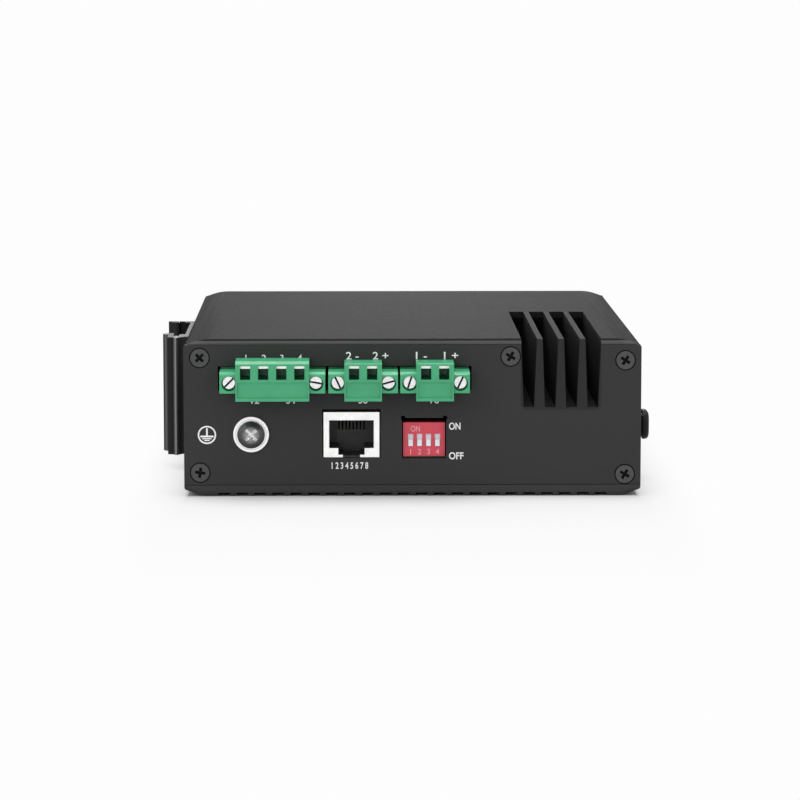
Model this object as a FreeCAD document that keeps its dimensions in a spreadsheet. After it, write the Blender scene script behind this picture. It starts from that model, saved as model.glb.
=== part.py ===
import FreeCAD, Part
import math
import os
import re

import Sketcher

# A fan-less Ethernet switch for a DIN rail, lying on its side.
# Sizes are in millimetres. Formulas count x from the rail side, y from the terminal end and z from
# the base, and every placement then moves the part so that the middle of the base is the origin.

SIZES = [
    # casing
    ("sink_right", 11.54, "last cooling slot to the port side"),
    ("port_far", 10.9, "port block to the far end"),
    ("port_above", 3.5, "port block to the top cover's flange"),
    ("cover_skin", 1.5, "thickness of both covers"),
    ("edge_inset", 0.35, "steep break at the long edges, across"),
    ("edge_drop", 0.6, "steep break at the long edges, down"),
    ("bevel_width", 4.8, "gentle border of both covers, across"),
    ("bevel_drop", 1.7, "gentle border of both covers, down"),
    ("knee_round", 14.0, "soft knee between the gentle border and the flat of the top"),
    ("edge_round", 1.6, "soft corner between that border and the steep break"),
    ("cover_bend", 1.3, "bend at the ends of the top cover"),
    ("base_bend", 1.5, "bend at the ends of the base"),
    ("top_flange", 3.9, "depth of the top cover at its long sides"),
    ("base_flange", 4.3, "height of the base at its long sides"),
    ("end_foot", 3.2, "height of the base under the end panels"),
    ("end_skin", 2.0, "thickness of the end panels"),
    ("panel_gap", 0.12, "seam between the end panels and the covers"),
    ("side_skin", 2.0, "thickness of the side walls"),
    ("rib_count", 22, "cooling grooves under the base"),
    ("rib_pitch", 5.11, "spacing of those grooves"),
    ("rib_gap", 3.3, "width of those grooves"),
    ("rib_depth", 1.0, "depth of those grooves"),
    ("seam", 0.15, "gap around what fits in a window"),
    # end screws and their posts
    ("post_width", 6.8, "screw post, in from the side wall"),
    ("post_length", 8.5, "screw post, in from the end panel"),
    ("post_height", 5.4, "screw post, up"),
    ("end_screw_in", 4.55, "end screws from the sides"),
    ("rail_screw_low", 6.85, "lower end screw by the rail"),
    ("rail_screw_drop", 5.3, "upper end screw by the rail, below the top"),
    ("port_screw_low", 6.2, "lower end screw by the ports"),
    ("port_screw_drop", 6.15, "upper end screw by the ports, below the top"),
    ("sink_screw_side", 3.0, "end screw into the heat sink, outside the first slot"),
    ("sink_screw_drop", 5.0, "end screw into the heat sink, below the top"),
    ("screw_head", 5.2, "end screw head, across"),
    ("screw_head_rise", 1.2, "end screw head, thickness"),
    ("screw_recess", 5.9, "recess for the end screw head, across"),
    ("screw_shank", 2.5, "end screw shank, across"),
    ("screw_length", 8.0, "end screw shank, length"),
    ("screw_hole", 3.0, "clearance hole for the end screw"),
    ("thread_play", 0.02, "gap between a thread and its hole"),
    ("cross_width", 0.85, "Phillips recess, arm width"),
    ("cross_span", 2.9, "Phillips recess, across"),
    ("cross_depth", 1.1, "Phillips recess, depth"),
    # heat sink
    ("sink_left", 95.8, "first cooling slot, left edge"),
    ("slot_count", 4, "cooling slots"),
    ("slot_pitch", 6.07, "spacing of the slots"),
    ("slot_mouth", 4.45, "slot width at the top"),
    ("slot_root", 3.0, "slot width at the root"),
    ("sink_floor", 3.3, "heat sink under the slots"),
    ("sink_over", 3.5, "heat sink past the switch chip"),
    ("sink_wall", 2.3, "heat sink outside the slots"),
    ("sink_clear", 1.2, "heat sink above the fibre slot"),
    ("notch_drop", 0.5, "notch floor in the end panel below the slot floor"),
    ("notch_round", 1.6, "rounding of that notch"),
    ("sink_fit", 0.03, "gap around the heat sink where it shows"),
    ("boss_width", 6.4, "heat sink screw boss, across"),
    ("boss_length", 10.0, "heat sink screw boss, length"),
    ("boss_foot", 5.0, "heat sink screw boss below its screw"),
    # boards
    ("board_skin", 1.6, "thickness of a circuit board"),
    ("main_top", 11.2, "height of the main board's top"),
    ("power_drop", 16.0, "power board's top below the casing's top"),
    ("board_gap", 0.7, "main board to the walls"),
    ("power_left", 5.0, "power board, left edge"),
    ("power_sink", 5.6, "power board to the heat sink"),
    ("power_depth", 76.0, "power board, length"),
    ("stand_across", 5.5, "board standoff, across"),
    ("stand_hole", 2.5, "board standoff, bore"),
    ("stand_x", 13.0, "standoffs, left row"),
    ("stand_right", 49.0, "standoffs, right row from the port side"),
    ("stand_y", 18.5, "standoffs, near row"),
    ("stand_far", 11.0, "standoffs, far row from the far end"),
    ("pillar_edge", 5.0, "power board pillars, left row from the board's edge"),
    ("pillar_right", 10.0, "power board pillars, right row from the board's edge"),
    ("pillar_y", 27.0, "power board pillars, near row"),
    ("pillar_far", 5.7, "power board pillars, far row from the board's edge"),
    ("pan_head", 5.0, "board screw head, across"),
    ("pan_rise", 1.9, "board screw head, height"),
    # pluggable terminals
    ("pole_pitch", 5.08, "terminal spacing"),
    ("signal_poles", 4, "poles of the signal terminal"),
    ("power_poles", 2, "poles of a power terminal"),
    ("signal_x", 25.37, "middle of the signal terminal"),
    ("power_two_x", 50.9, "middle of the second power terminal"),
    ("power_one_x", 71.15, "middle of the first power terminal"),
    ("terminal_rise", 4.6, "flange screws above the power board"),
    ("plug_side", 0.2, "plug body outside its end poles"),
    ("plug_below", 5.15, "plug body below the flange screws"),
    ("plug_above", 5.55, "plug body above the flange screws"),
    ("signal_rise", 0.6, "extra height of the signal plug"),
    ("plug_reach", 10.0, "plug body in front of the panel"),
    ("plug_gap", 0.1, "plug to its header"),
    ("ear_side", 7.25, "flange outside its end pole"),
    ("ear_reach", 8.8, "flange in front of the panel"),
    ("ear_below", 3.0, "flange below its screw"),
    ("ear_above", 3.0, "flange above its screw"),
    ("ear_chamfer", 0.85, "chamfer on the top of the flange"),
    ("wire_width", 2.9, "wire entry, across"),
    ("wire_height", 3.9, "wire entry, up"),
    ("wire_lift", 0.95, "wire entry above the flange screws"),
    ("wire_depth", 8.0, "wire entry, depth"),
    ("clamp_skin", 0.35, "metal of the wire clamp"),
    ("clamp_lip", 0.9, "lip of the wire clamp, thickness"),
    ("lip_height", 0.9, "lip along the bottom of the plug face"),
    ("face_recess", 0.5, "recess of the lower plug face"),
    ("face_height", 4.45, "height of the lower plug face"),
    ("face_inset", 0.45, "lower plug face in from the sides"),
    ("tongue_height", 4.4, "plug tongue in its header, up"),
    ("tongue_length", 7.0, "plug tongue in its header, length"),
    ("header_height", 7.8, "header above the power board"),
    ("header_depth", 12.0, "header behind the panel's face"),
    ("header_proud", 0.3, "header in front of the panel's face"),
    ("header_nose", 5.7, "header in the window, up"),
    ("pin_size", 1.0, "header pin, square"),
    ("window_play", 0.75, "terminal window beside the headers"),
    ("window_below", 3.2, "terminal window below the flange screws"),
    ("window_above", 3.7, "terminal window above the flange screws"),
    ("ear_screw_side", 4.6, "flange screw outside its end pole"),
    ("ear_screw", 3.4, "flange screw head, across"),
    ("ear_screw_bore", 4.2, "bore for the flange screw head"),
    ("ear_bore_drop", 0.3, "middle of that bore below the screw's"),
    ("ear_screw_sink", 0.5, "flange screw head below the flange"),
    ("ear_screw_rise", 2.2, "flange screw head, length"),
    ("ear_shank", 2.4, "flange screw shank, across"),
    ("ear_shank_length", 12.0, "flange screw shank, length"),
    ("driver_slot", 0.55, "screwdriver slot, width"),
    # earth screw
    ("earth_x", 19.1, "earth screw, across"),
    ("earth_lift", 6.7, "earth screw above the main board"),
    ("earth_head", 7.7, "earth screw head, across"),
    ("earth_rise", 2.6, "earth screw head, height"),
    ("earth_shank", 4.0, "earth screw shank, across"),
    ("earth_washer", 10.1, "earth washer, across"),
    ("earth_washer_rise", 1.0, "earth washer, thickness"),
    ("earth_rim", 1.1, "raised rim of the earth washer, across"),
    ("earth_dish", 0.5, "earth washer inside its rim, depth"),
    ("earth_crown", 4.8, "flat of the earth screw's dome, across"),
    ("earth_cross", 4.3, "Phillips recess of the earth screw, across"),
    ("earth_cross_arm", 1.1, "Phillips recess of the earth screw, arm width"),
    ("earth_cross_depth", 1.6, "Phillips recess of the earth screw, depth"),
    ("earth_nut", 7.0, "earth nut, across"),
    ("earth_nut_rise", 3.2, "earth nut, thickness"),
    # console socket
    ("jack_x", 47.6, "middle of the console socket"),
    ("jack_width", 15.85, "console socket, across"),
    ("jack_height", 12.9, "console socket, up"),
    ("jack_depth", 16.0, "console socket, length"),
    ("jack_play", 0.35, "window beside the console socket"),
    ("jack_room", 0.85, "window above the console socket"),
    ("jack_set_back", 0.2, "console socket behind the panel's face"),
    ("jack_skin", 0.4, "metal of the console socket"),
    ("jack_mouth", 12.7, "socket opening, across"),
    ("jack_mouth_height", 8.0, "socket opening, up"),
    ("jack_mouth_low", 2.6, "socket opening above the board"),
    ("jack_step", 7.5, "keyway of the socket, across"),
    ("jack_step_drop", 1.9, "keyway of the socket, down"),
    ("jack_latch", 4.9, "latch slot of the socket, across"),
    ("jack_cavity", 12.0, "socket opening, length"),
    ("wire_count", 8, "contacts in a socket"),
    ("wire_pitch", 1.02, "contact spacing"),
    ("contact_width", 0.45, "contact wire, across"),
    # option switch
    ("dip_x", 68.25, "middle of the option switch"),
    ("dip_width", 11.9, "option switch, across"),
    ("dip_height", 9.7, "option switch, up"),
    ("dip_depth", 6.0, "option switch, length"),
    ("dip_set_back", 1.2, "option switch behind the panel's face"),
    ("dip_lift", 0.1, "option switch above the board"),
    ("dip_window_height", 11.6, "window of the option switch, up"),
    ("dip_play", 0.35, "window beside and below the option switch"),
    ("dip_relief", 0.65, "corner relief of that window, radius"),
    ("lever_count", 4, "levers of the option switch"),
    ("lever_pitch", 2.54, "lever spacing"),
    ("lever_slot_low", 2.9, "lever slot above the switch's foot"),
    ("lever_slot_height", 3.55, "lever slot, up"),
    ("lever_slot_width", 1.6, "lever slot, across"),
    ("lever_face", 0.6, "switch skin in front of the levers"),
    ("lever_width", 1.3, "lever knob, across"),
    ("lever_height", 1.9, "lever knob, up"),
    ("lever_proud", 0.25, "lever knob in front of the switch"),
    ("lever_plate", 0.8, "lever slide, thickness"),
    ("lever_play", 0.06, "lever in its track"),
    # port side
    ("cage_y", 35.0, "fibre slot, along"),
    ("cage_width", 14.2, "fibre slot cage, along"),
    ("cage_height", 9.6, "fibre slot cage, up"),
    ("cage_length", 46.0, "fibre slot cage, across"),
    ("cage_proud", 0.4, "fibre slot cage outside the wall"),
    ("cage_skin", 0.35, "metal of the cage"),
    ("dust_stem", 9.0, "dust plug inside the cage"),
    ("dust_rise", 5.05, "dust plug outside the wall"),
    ("dust_cap", 1.8, "dust plug cap, thickness"),
    ("dust_cap_height", 8.5, "dust plug cap, up"),
    ("dust_cap_width", 9.0, "dust plug cap, along"),
    ("dust_cap_corner", 3.0, "rounding of the dust plug cap's corners"),
    ("dust_cap_round", 1.2, "rounding of the dust plug cap's face"),
    ("dust_neck_height", 6.0, "dust plug neck, up"),
    ("dust_neck_width", 6.4, "dust plug neck, along"),
    ("port_gap", 0.6, "port block behind the heat sink"),
    ("port_columns", 4, "port columns"),
    ("port_pitch", 14.0, "port column spacing"),
    ("port_rows_pitch", 13.0, "port row spacing"),
    ("port_height", 26.4, "port block, up"),
    ("port_depth", 27.0, "port block, length"),
    ("port_mouth", 11.9, "port opening, along"),
    ("port_mouth_height", 8.4, "port opening, up"),
    ("port_proud", 0.3, "port block outside the wall"),
    ("port_cavity", 12.5, "port opening, length"),
    ("port_key", 5.4, "keyway of a port, along"),
    ("port_key_depth", 1.7, "keyway of a port, up"),
    ("light_gap", 24.4, "status lights behind the fibre slot"),
    ("light_lift", 3.8, "lowest status light above the main board"),
    ("light_count", 6, "status lights"),
    ("light_pitch", 4.2, "status light spacing"),
    ("light_width", 2.2, "status light, across"),
    ("light_pipe", 7.0, "status light, length"),
    ("light_proud", 0.2, "status light outside the wall"),
    # rail clip
    ("clip_low", 4.3, "clip above the base"),
    ("clip_height", 35.4, "clip, up"),
    ("clip_near", 53.3, "clip, near face"),
    ("clip_web", 2.5, "clip plate, thickness"),
    ("near_block", 10.7, "near hook, length"),
    ("near_reach", 7.5, "near hook, out from the wall"),
    ("ridge_out", 4.8, "ridge of the near hook's face, out from the wall"),
    ("ridge_rise", 2.2, "ridge of the near hook's face, height"),
    ("rail_slot_out", 4.2, "rail slot, out from the wall"),
    ("rail_slot", 1.7, "rail slot, width"),
    ("near_slot_floor", 6.1, "floor of the near rail slot behind the ridge"),
    ("near_lip_back", 3.2, "outer lip of the near hook past its block"),
    ("flare_out", 1.7, "flare of the outer lip, out"),
    ("flare_length", 2.0, "flare of the outer lip, length"),
    ("hook_gap", 31.6, "near lip to far lip"),
    ("hook_length", 4.0, "far hook, length"),
    ("hook_reach", 9.4, "far hook, out from the wall"),
    ("hook_slot_deep", 2.2, "rail slot in the far hook, depth"),
    ("hook_land", 0.9, "flat of the far lip"),
    ("spring_skin", 0.6, "clip spring, thickness"),
    ("spring_width", 1.4, "clip spring, width"),
    ("spring_length", 30.0, "clip spring, length"),
    ("spring_foot", 4.0, "flat end of the clip spring"),
    ("spring_bow", 4.6, "bow of the clip spring"),
    ("clip_screw_head", 5.5, "clip screw head, across"),
    ("clip_screw_rise", 1.5, "clip screw head, height"),
    ("clip_screw_shank", 3.0, "clip screw shank, across"),
    ("clip_screw_length", 4.6, "clip screw shank, length"),
    ("clip_screw_step", 16.0, "clip screw spacing, up"),
    ("clip_screw_along", 12.0, "clip screw spacing, along"),
    # parts on the boards
    ("chip_side", 11.1, "switch chip's middle inside the first slot"),
    ("chip_gap", 20.4, "switch chip behind the fibre slot"),
    ("chip_width", 14.0, "switch chip, square"),
    ("chip_rise", 1.8, "switch chip, thickness"),
    ("pad_rise", 0.6, "thermal pad, thickness"),
    ("can_x", 16.0, "first capacitor, across"),
    ("can_y", 56.0, "capacitors, along"),
    ("can_pitch", 14.0, "capacitor spacing"),
    ("can_count", 3, "capacitors"),
    ("can_width", 10.0, "capacitor, across"),
    ("can_room", 2.0, "capacitor below the top cover"),
    ("coil_x", 70.0, "power coil, across"),
    ("coil_y", 52.0, "power coil, along"),
    ("coil_width", 14.0, "power coil, square"),
    ("coil_rise", 9.0, "power coil, height"),
    ("magnet_gap", 6.8, "isolating transformers to the port block"),
    ("magnet_length", 12.0, "isolating transformer, along"),
    ("magnet_width", 9.0, "isolating transformer, across"),
    ("magnet_rise", 5.5, "isolating transformer, height"),
    ("link_x", 40.0, "board link, across"),
    ("link_far", 5.7, "board link from the power board's far edge"),
    ("link_length", 25.4, "board link, length"),
    ("link_width", 5.0, "board link, width"),
]

DOC = FreeCAD.newDocument("RailSwitch")
SHEET = DOC.addObject("Spreadsheet::Sheet", "Sizes")
PARTS = []


def fill_sheet():
    """Write each size into the sheet with its name as the cell's alias."""
    for row, (alias, amount, note) in enumerate(SIZES, start=1):
        SHEET.set(f"A{row}", note)
        SHEET.set(f"B{row}", str(amount))
        SHEET.setAlias(f"B{row}", alias)
    DOC.recompute()


# Sizes and places that follow from others.
FOLLOWING = {
    "sink_slots_right": "(sink_left + (slot_count - 1) * slot_pitch + slot_mouth)",
    "stand_step_x": "(case_width - stand_right - stand_x)",
    "stand_step_y": "(case_depth - stand_far - stand_y)",
    "power_width": "(power_right - power_left)",
    "pillar_x": "(power_left + pillar_edge)",
    "pillar_step_x": "(power_right - pillar_right - pillar_x)",
    "case_width": "(sink_slots_right + sink_right)",
    "case_depth": "(port_near + port_columns * port_pitch + port_far)",
    "case_height": "(main_top + port_height + port_above + top_flange)",
    "sink_rear": "(chip_y + chip_width / 2 + sink_over)",
    "slot_length": "(sink_rear - sink_wall)",
    "sink_base": "(main_top + cage_height + sink_clear)",
    "slot_floor": "(sink_base + sink_floor)",
    "sink_notch": "(slot_floor - notch_drop)",
    "power_far": "(end_skin + board_gap + power_depth)",
    "pillar_step_y": "(power_far - pillar_far - pillar_y)",
    "link_y": "(power_far - link_far)",
    "sink_screw_x": "(sink_left - sink_screw_side)",
    "rail_screw_high": "(case_height - rail_screw_drop)",
    "port_screw_high": "(case_height - port_screw_drop)",
    "sink_screw_z": "(case_height - sink_screw_drop)",
    "power_top": "(case_height - power_drop)",
    "power_right": "(sink_left - sink_wall - power_sink)",
    "terminal_z": "(power_top + terminal_rise)",
    "earth_z": "(main_top + earth_lift)",
    "port_near": "(sink_rear + port_gap)",
    "port_y": "(port_near + port_columns * port_pitch / 2)",
    "cage_far": "(cage_y + cage_width / 2)",
    "light_y": "(cage_far + light_gap)",
    "light_z": "(main_top + light_lift)",
    "chip_x": "(sink_left + chip_side)",
    "chip_y": "(cage_far + chip_gap + chip_width / 2)",
    "magnet_x": "(case_width + port_proud - port_depth - magnet_gap - magnet_width / 2)",
    "magnet_y": "(port_near + port_pitch / 2)",
    "can_rise": "(case_height - cover_skin - can_room - power_top)",
}
NAMES = {alias for alias, amount, note in SIZES}
WORD = re.compile(r"[a-z_]+")


def formula(text):
    """Point each size named in a formula at its cell in the sheet."""
    def cell(found):
        word = found.group()
        if word in FOLLOWING:
            return formula(FOLLOWING[word])
        return "Sizes." + word if word in NAMES else word
    return WORD.sub(cell, str(text))


def amount_of(name):
    """Read one size as a number, for code that picks edges or counts."""
    return float(SHEET.get(name))


def count_of(alias):
    return int(round(amount_of(alias)))


def bind(item, **texts):
    for name, text in texts.items():
        item.setExpression(name, formula(text))


def place(item, x, y, z):
    """Place an item by formulas counted from the casing's near left corner."""
    item.setExpression("Placement.Base.x", formula(f"{x} - case_width / 2"))
    item.setExpression("Placement.Base.y", formula(f"{y} - case_depth / 2"))
    item.setExpression("Placement.Base.z", formula(z))


def keep(item, label):
    """Name a finished sub-part, which is then written to a file of that name."""
    item.Label = label
    PARTS.append(item)
    return item


# Primitives and booleans

TURNS = {
    "x": FreeCAD.Rotation(FreeCAD.Vector(0, 1, 0), 90),
    "y": FreeCAD.Rotation(FreeCAD.Vector(1, 0, 0), -90),
    "z": FreeCAD.Rotation(),
}


def block(x, y, z, length, width, height, name="Block"):
    """A box from its low corner: length along x, width along y, height along z."""
    box = DOC.addObject("Part::Box", name)
    bind(box, Length=length, Width=width, Height=height)
    place(box, x, y, z)
    return box


def centred(x, y, z, length, width, height, name="Block"):
    """A box whose x and y are its middle and whose z is its foot."""
    return block(f"{x} - ({length}) / 2", f"{y} - ({width}) / 2", z, length, width, height, name)


def rod(x, y, z, across, length, along="z", name="Rod"):
    """A cylinder that starts at a point and runs along an axis."""
    cylinder = DOC.addObject("Part::Cylinder", name)
    cylinder.Placement = FreeCAD.Placement(FreeCAD.Vector(), TURNS[along])
    bind(cylinder, Radius=f"({across}) / 2", Height=length)
    place(cylinder, x, y, z)
    return cylinder


def cone(x, y, z, start, finish, length, along="z", name="Cone"):
    """A cone frustum from one diameter to another along an axis."""
    item = DOC.addObject("Part::Cone", name)
    item.Placement = FreeCAD.Placement(FreeCAD.Vector(), TURNS[along])
    bind(item, Radius1=f"({start}) / 2", Radius2=f"({finish}) / 2", Height=length)
    place(item, x, y, z)
    return item


def fused(*items, name="Fused"):
    if len(items) == 1:
        return items[0]
    result = DOC.addObject("Part::MultiFuse", name)
    result.Shapes = list(items)
    result.Refine = True
    return result


def cut(base, *tools, name="Cut"):
    result = DOC.addObject("Part::Cut", name)
    result.Base = base
    result.Tool = fused(*tools, name="Tools")
    return result


def group(items, label):
    """Keep several like solids as one sub-part."""
    compound = DOC.addObject("Part::Compound", "Group")
    compound.Links = list(items)
    return keep(compound, label)


# Sketches and bodies

def new_body(label, x="0", y="0", z="0"):
    body = DOC.addObject("PartDesign::Body", label)
    place(body, x, y, z)
    return keep(body, label)


def sketch_on(body, plane, lift="0"):
    """A sketch on one of the body's own origin planes, lifted along its normal."""
    support = next(item for item in body.Origin.OriginFeatures if item.Role == plane)
    sketch = body.newObject("Sketcher::SketchObject", "Outline")
    sketch.AttachmentSupport = [(support, "")]
    sketch.MapMode = "FlatFace"
    sketch.setExpression("AttachmentOffset.Base.z", formula(lift))
    return sketch


def fix_point(sketch, item, end, across, up):
    """Dimension one point of a sketch from its root."""
    for kind, text in (("DistanceX", across), ("DistanceY", up)):
        place_in_list = sketch.addConstraint(Sketcher.Constraint(kind, -1, 1, item, end, 1.0))
        sketch.setExpression(f"Constraints[{place_in_list}]", formula(text))


def polygon(sketch, points):
    """A closed outline with each corner dimensioned by formulas."""
    first = sketch.GeometryCount
    number = len(points)
    spots = [FreeCAD.Vector(math.cos(2 * math.pi * step / number), math.sin(2 * math.pi * step / number), 0)
             for step in range(number)]
    for step in range(number):
        sketch.addGeometry(Part.LineSegment(spots[step], spots[(step + 1) % number]), False)
    for step in range(number):
        following = first + (step + 1) % number
        sketch.addConstraint(Sketcher.Constraint("Coincident", first + step, 2, following, 1))
    for step, (across, up) in enumerate(points):
        fix_point(sketch, first + step, 1, across, up)


def rectangle(sketch, left, low, width, height):
    right = f"{left} + {width}"
    high = f"{low} + {height}"
    polygon(sketch, [(left, low), (right, low), (right, high), (left, high)])


def circle(sketch, across, up, diameter):
    item = sketch.addGeometry(Part.Circle(FreeCAD.Vector(1, 1, 0), FreeCAD.Vector(0, 0, 1), 1.0), False)
    fix_point(sketch, item, 3, across, up)
    place_in_list = sketch.addConstraint(Sketcher.Constraint("Diameter", item, 1.0))
    sketch.setExpression(f"Constraints[{place_in_list}]", formula(diameter))


def pad(body, sketch, length, reverse=False):
    feature = body.newObject("PartDesign::Pad", "Pad")
    feature.Profile = sketch
    feature.Reversed = reverse
    bind(feature, Length=length)
    sketch.Visibility = False
    return feature


def pocket(body, sketch, length, reverse=False):
    feature = body.newObject("PartDesign::Pocket", "Pocket")
    feature.Profile = sketch
    feature.Reversed = reverse
    bind(feature, Length=length)
    sketch.Visibility = False
    return feature


def fillet_edges(body, radius, chosen):
    """Round the edges of the body's last shape that a test picks."""
    DOC.recompute()
    last = body.Tip
    names = [f"Edge{number}" for number, edge in enumerate(last.Shape.Edges, start=1) if chosen(edge)]
    feature = body.newObject("PartDesign::Fillet", "Round")
    feature.Base = (last, names)
    bind(feature, Radius=radius)
    return feature


def lowest(body, inside):
    """Make a test that picks the lowest of the straight edges along y whose box passes a test."""
    DOC.recompute()

    def fits(edge):
        box = edge.BoundBox
        return edge.Curve.TypeId == "Part::GeomLine" and box.YLength > 0.01 and inside(box)

    level = min(edge.BoundBox.ZMin for edge in body.Tip.Shape.Edges if fits(edge))
    return lambda edge: fits(edge) and edge.BoundBox.ZMax < level + 0.01


# Casing

SEAM_X = "(edge_inset + bevel_width * (bevel_drop - cover_skin) / bevel_drop)"
COVER_UNDER = "(case_height - cover_skin)"
BASE_FLOOR = "(rib_depth + cover_skin)"
WALL_TOP = "(case_height - top_flange)"
INNER_DEPTH = "(case_depth - 2 * end_skin)"
MAIN_FOOT = "(main_top - board_skin)"
POWER_FOOT = "(power_top - board_skin)"


def mirrored(points):
    """Add the port side's copy of an outline that is drawn from the rail side."""
    return points + [(f"case_width - ({across})", up) for across, up in reversed(points)]


def round_ends(body, radius, height):
    """Bend both ends of a cover over along its flat and its two gentle borders."""
    DOC.recompute()
    whole = body.Tip.Shape.BoundBox
    level = whole.ZMax if height == "top" else whole.ZMin
    ends = (whole.YMin, whole.YMax)

    def chosen(edge):
        box = edge.BoundBox
        at_end = any(abs(box.YMin - end) < 0.01 and abs(box.YMax - end) < 0.01 for end in ends)
        reaches = max(abs(box.ZMin - level), abs(box.ZMax - level))
        flat = abs(box.ZMin - level) < 0.01 and abs(box.ZMax - level) < 0.01
        border = reaches < amount_of("bevel_drop") + 0.01 and box.XLength > amount_of("edge_inset") + 0.01
        touches = min(abs(box.ZMin - level), abs(box.ZMax - level)) < 0.01
        return at_end and (flat or (border and touches))

    return fillet_edges(body, radius, chosen)


def make_bottom_cover():
    """A shallow tray with a bevelled border and cooling grooves along its underside."""
    body = new_body("bottom_cover")
    outer = [("0", "bevel_drop + edge_drop"), ("edge_inset", "bevel_drop"),
             ("edge_inset + bevel_width", "0")]
    tray = sketch_on(body, "XZ_Plane", "-end_skin")
    inner = [("side_skin", BASE_FLOOR), ("side_skin", "base_flange"), ("0", "base_flange")]
    polygon(tray, mirrored(inner + outer))
    pad(body, tray, INNER_DEPTH, reverse=True)
    for start in ("0", "end_skin - case_depth"):
        end = sketch_on(body, "XZ_Plane", start)
        polygon(end, mirrored([("0", "end_foot")] + outer))
        pad(body, end, "end_skin", reverse=True)
    round_ends(body, "base_bend", "base")
    grooves = sketch_on(body, "XZ_Plane")
    first = "case_width / 2 - (rib_count - 1) / 2 * rib_pitch - rib_gap / 2"
    for step in range(count_of("rib_count")):
        rectangle(grooves, f"{first} + {step} * rib_pitch", "-rib_depth", "rib_gap", "2 * rib_depth")
    pocket(body, grooves, "case_depth")


def make_top_cover():
    """A shallow lid with a bevelled border, bent ends and a notch that the heat sink fills."""
    body = new_body("top_cover")
    outer = [("0", "case_height - bevel_drop - edge_drop"), ("edge_inset", "case_height - bevel_drop"),
             ("edge_inset + bevel_width", "case_height")]
    lid = sketch_on(body, "XZ_Plane", "-end_skin")
    inner = [("edge_inset + bevel_width", COVER_UNDER),
             ("cover_skin", "case_height - bevel_drop - cover_skin"),
             ("cover_skin", WALL_TOP), ("0", WALL_TOP)]
    polygon(lid, mirrored(inner + outer))
    pad(body, lid, INNER_DEPTH, reverse=True)
    for start in ("0", "end_skin - case_depth"):
        end = sketch_on(body, "XZ_Plane", start)
        polygon(end, mirrored([(SEAM_X, COVER_UNDER), ("edge_inset + bevel_width", "case_height")]))
        pad(body, end, "end_skin", reverse=True)
    round_ends(body, "cover_bend", "top")
    DOC.recompute()
    whole = body.Tip.Shape.BoundBox
    edge_inset = amount_of("edge_inset")

    def long_edge(inset, drop):
        def chosen(edge):
            box = edge.BoundBox
            beside = min(abs(box.XMin - inset), abs(whole.XMax - box.XMax - inset)) < 0.01
            level = abs(box.ZMin - whole.ZMax + drop) < 0.01 and box.ZLength < 0.01
            return beside and level and box.XLength < 0.01 and box.YLength > 1
        return chosen

    fillet_edges(body, "knee_round", long_edge(edge_inset + amount_of("bevel_width"), 0.0))
    fillet_edges(body, "edge_round", long_edge(edge_inset, amount_of("bevel_drop")))
    notch = sketch_on(body, "XY_Plane", "case_height + 1")
    rectangle(notch, "sink_left", "-1", "sink_slots_right - sink_left", "slot_length + 1")
    pocket(body, notch, "cover_skin + 2")


def end_outline(sketch, notched):
    """Outline an end panel, with the heat sink's notch in the near one."""
    under = f"({COVER_UNDER} - panel_gap)"
    corner = [("0", "end_foot + panel_gap"), ("0", "case_height - bevel_drop - edge_drop"),
              ("edge_inset", "case_height - bevel_drop"),
              (f"{SEAM_X} - panel_gap * bevel_width / bevel_drop", under)]
    points = mirrored(corner)
    if notched:
        points[4:4] = [("sink_left", under), ("sink_left", "sink_notch"),
                       ("sink_slots_right", "sink_notch"), ("sink_slots_right", under)]
    polygon(sketch, points)


def end_screw_places(near):
    """Give the formulas of each end screw's centre."""
    port_side = "case_width - end_screw_in"
    places = [("end_screw_in", "rail_screw_low"), ("end_screw_in", "rail_screw_high"),
              (port_side, "port_screw_low"), (port_side, "port_screw_high")]
    if near:
        places.append(("sink_screw_x", "sink_screw_z"))
    return places


def make_near_end_panel():
    """The terminal end: windows for the headers, the sockets and the option switch."""
    body = new_body("near_end_panel")
    plate = sketch_on(body, "XZ_Plane")
    end_outline(plate, notched=True)
    pad(body, plate, "end_skin", reverse=True)
    windows = sketch_on(body, "XZ_Plane")
    ear = "(ear_side + window_play)"
    left = f"signal_x - (signal_poles - 1) / 2 * pole_pitch - {ear}"
    right = f"power_one_x + (power_poles - 1) / 2 * pole_pitch + {ear}"
    rectangle(windows, left, "terminal_z - window_below", f"{right} - ({left})",
              "window_below + window_above")
    rectangle(windows, "jack_x - jack_width / 2 - jack_play", "main_top - seam",
              "jack_width + 2 * jack_play", "seam + jack_height + jack_room")
    rectangle(windows, "dip_x - dip_width / 2 - dip_play", "main_top - dip_play", "dip_width + 2 * dip_play",
              "dip_window_height")
    circle(windows, "earth_x", "earth_z", "earth_shank + 2 * seam")
    for across, up in end_screw_places(near=True):
        circle(windows, across, up, "screw_hole")
    pocket(body, windows, "end_skin")
    recesses = sketch_on(body, "XZ_Plane")
    for across, up in end_screw_places(near=True):
        circle(recesses, across, up, "screw_recess")
    pocket(body, recesses, "screw_head_rise")
    for side in (-1, 1):
        relief = sketch_on(body, "XZ_Plane")
        corner = f"dip_x + {side} * (dip_width / 2 + dip_play - dip_relief / 2)"
        circle(relief, corner, "main_top - dip_play + dip_window_height", "2 * dip_relief")
        pocket(body, relief, "end_skin")
    left = amount_of("sink_left") - 1
    right = left + amount_of("slot_count") * amount_of("slot_pitch") + 2
    fillet_edges(body, "notch_round", lowest(body, lambda box: left < box.XMin and box.XMax < right))


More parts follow.
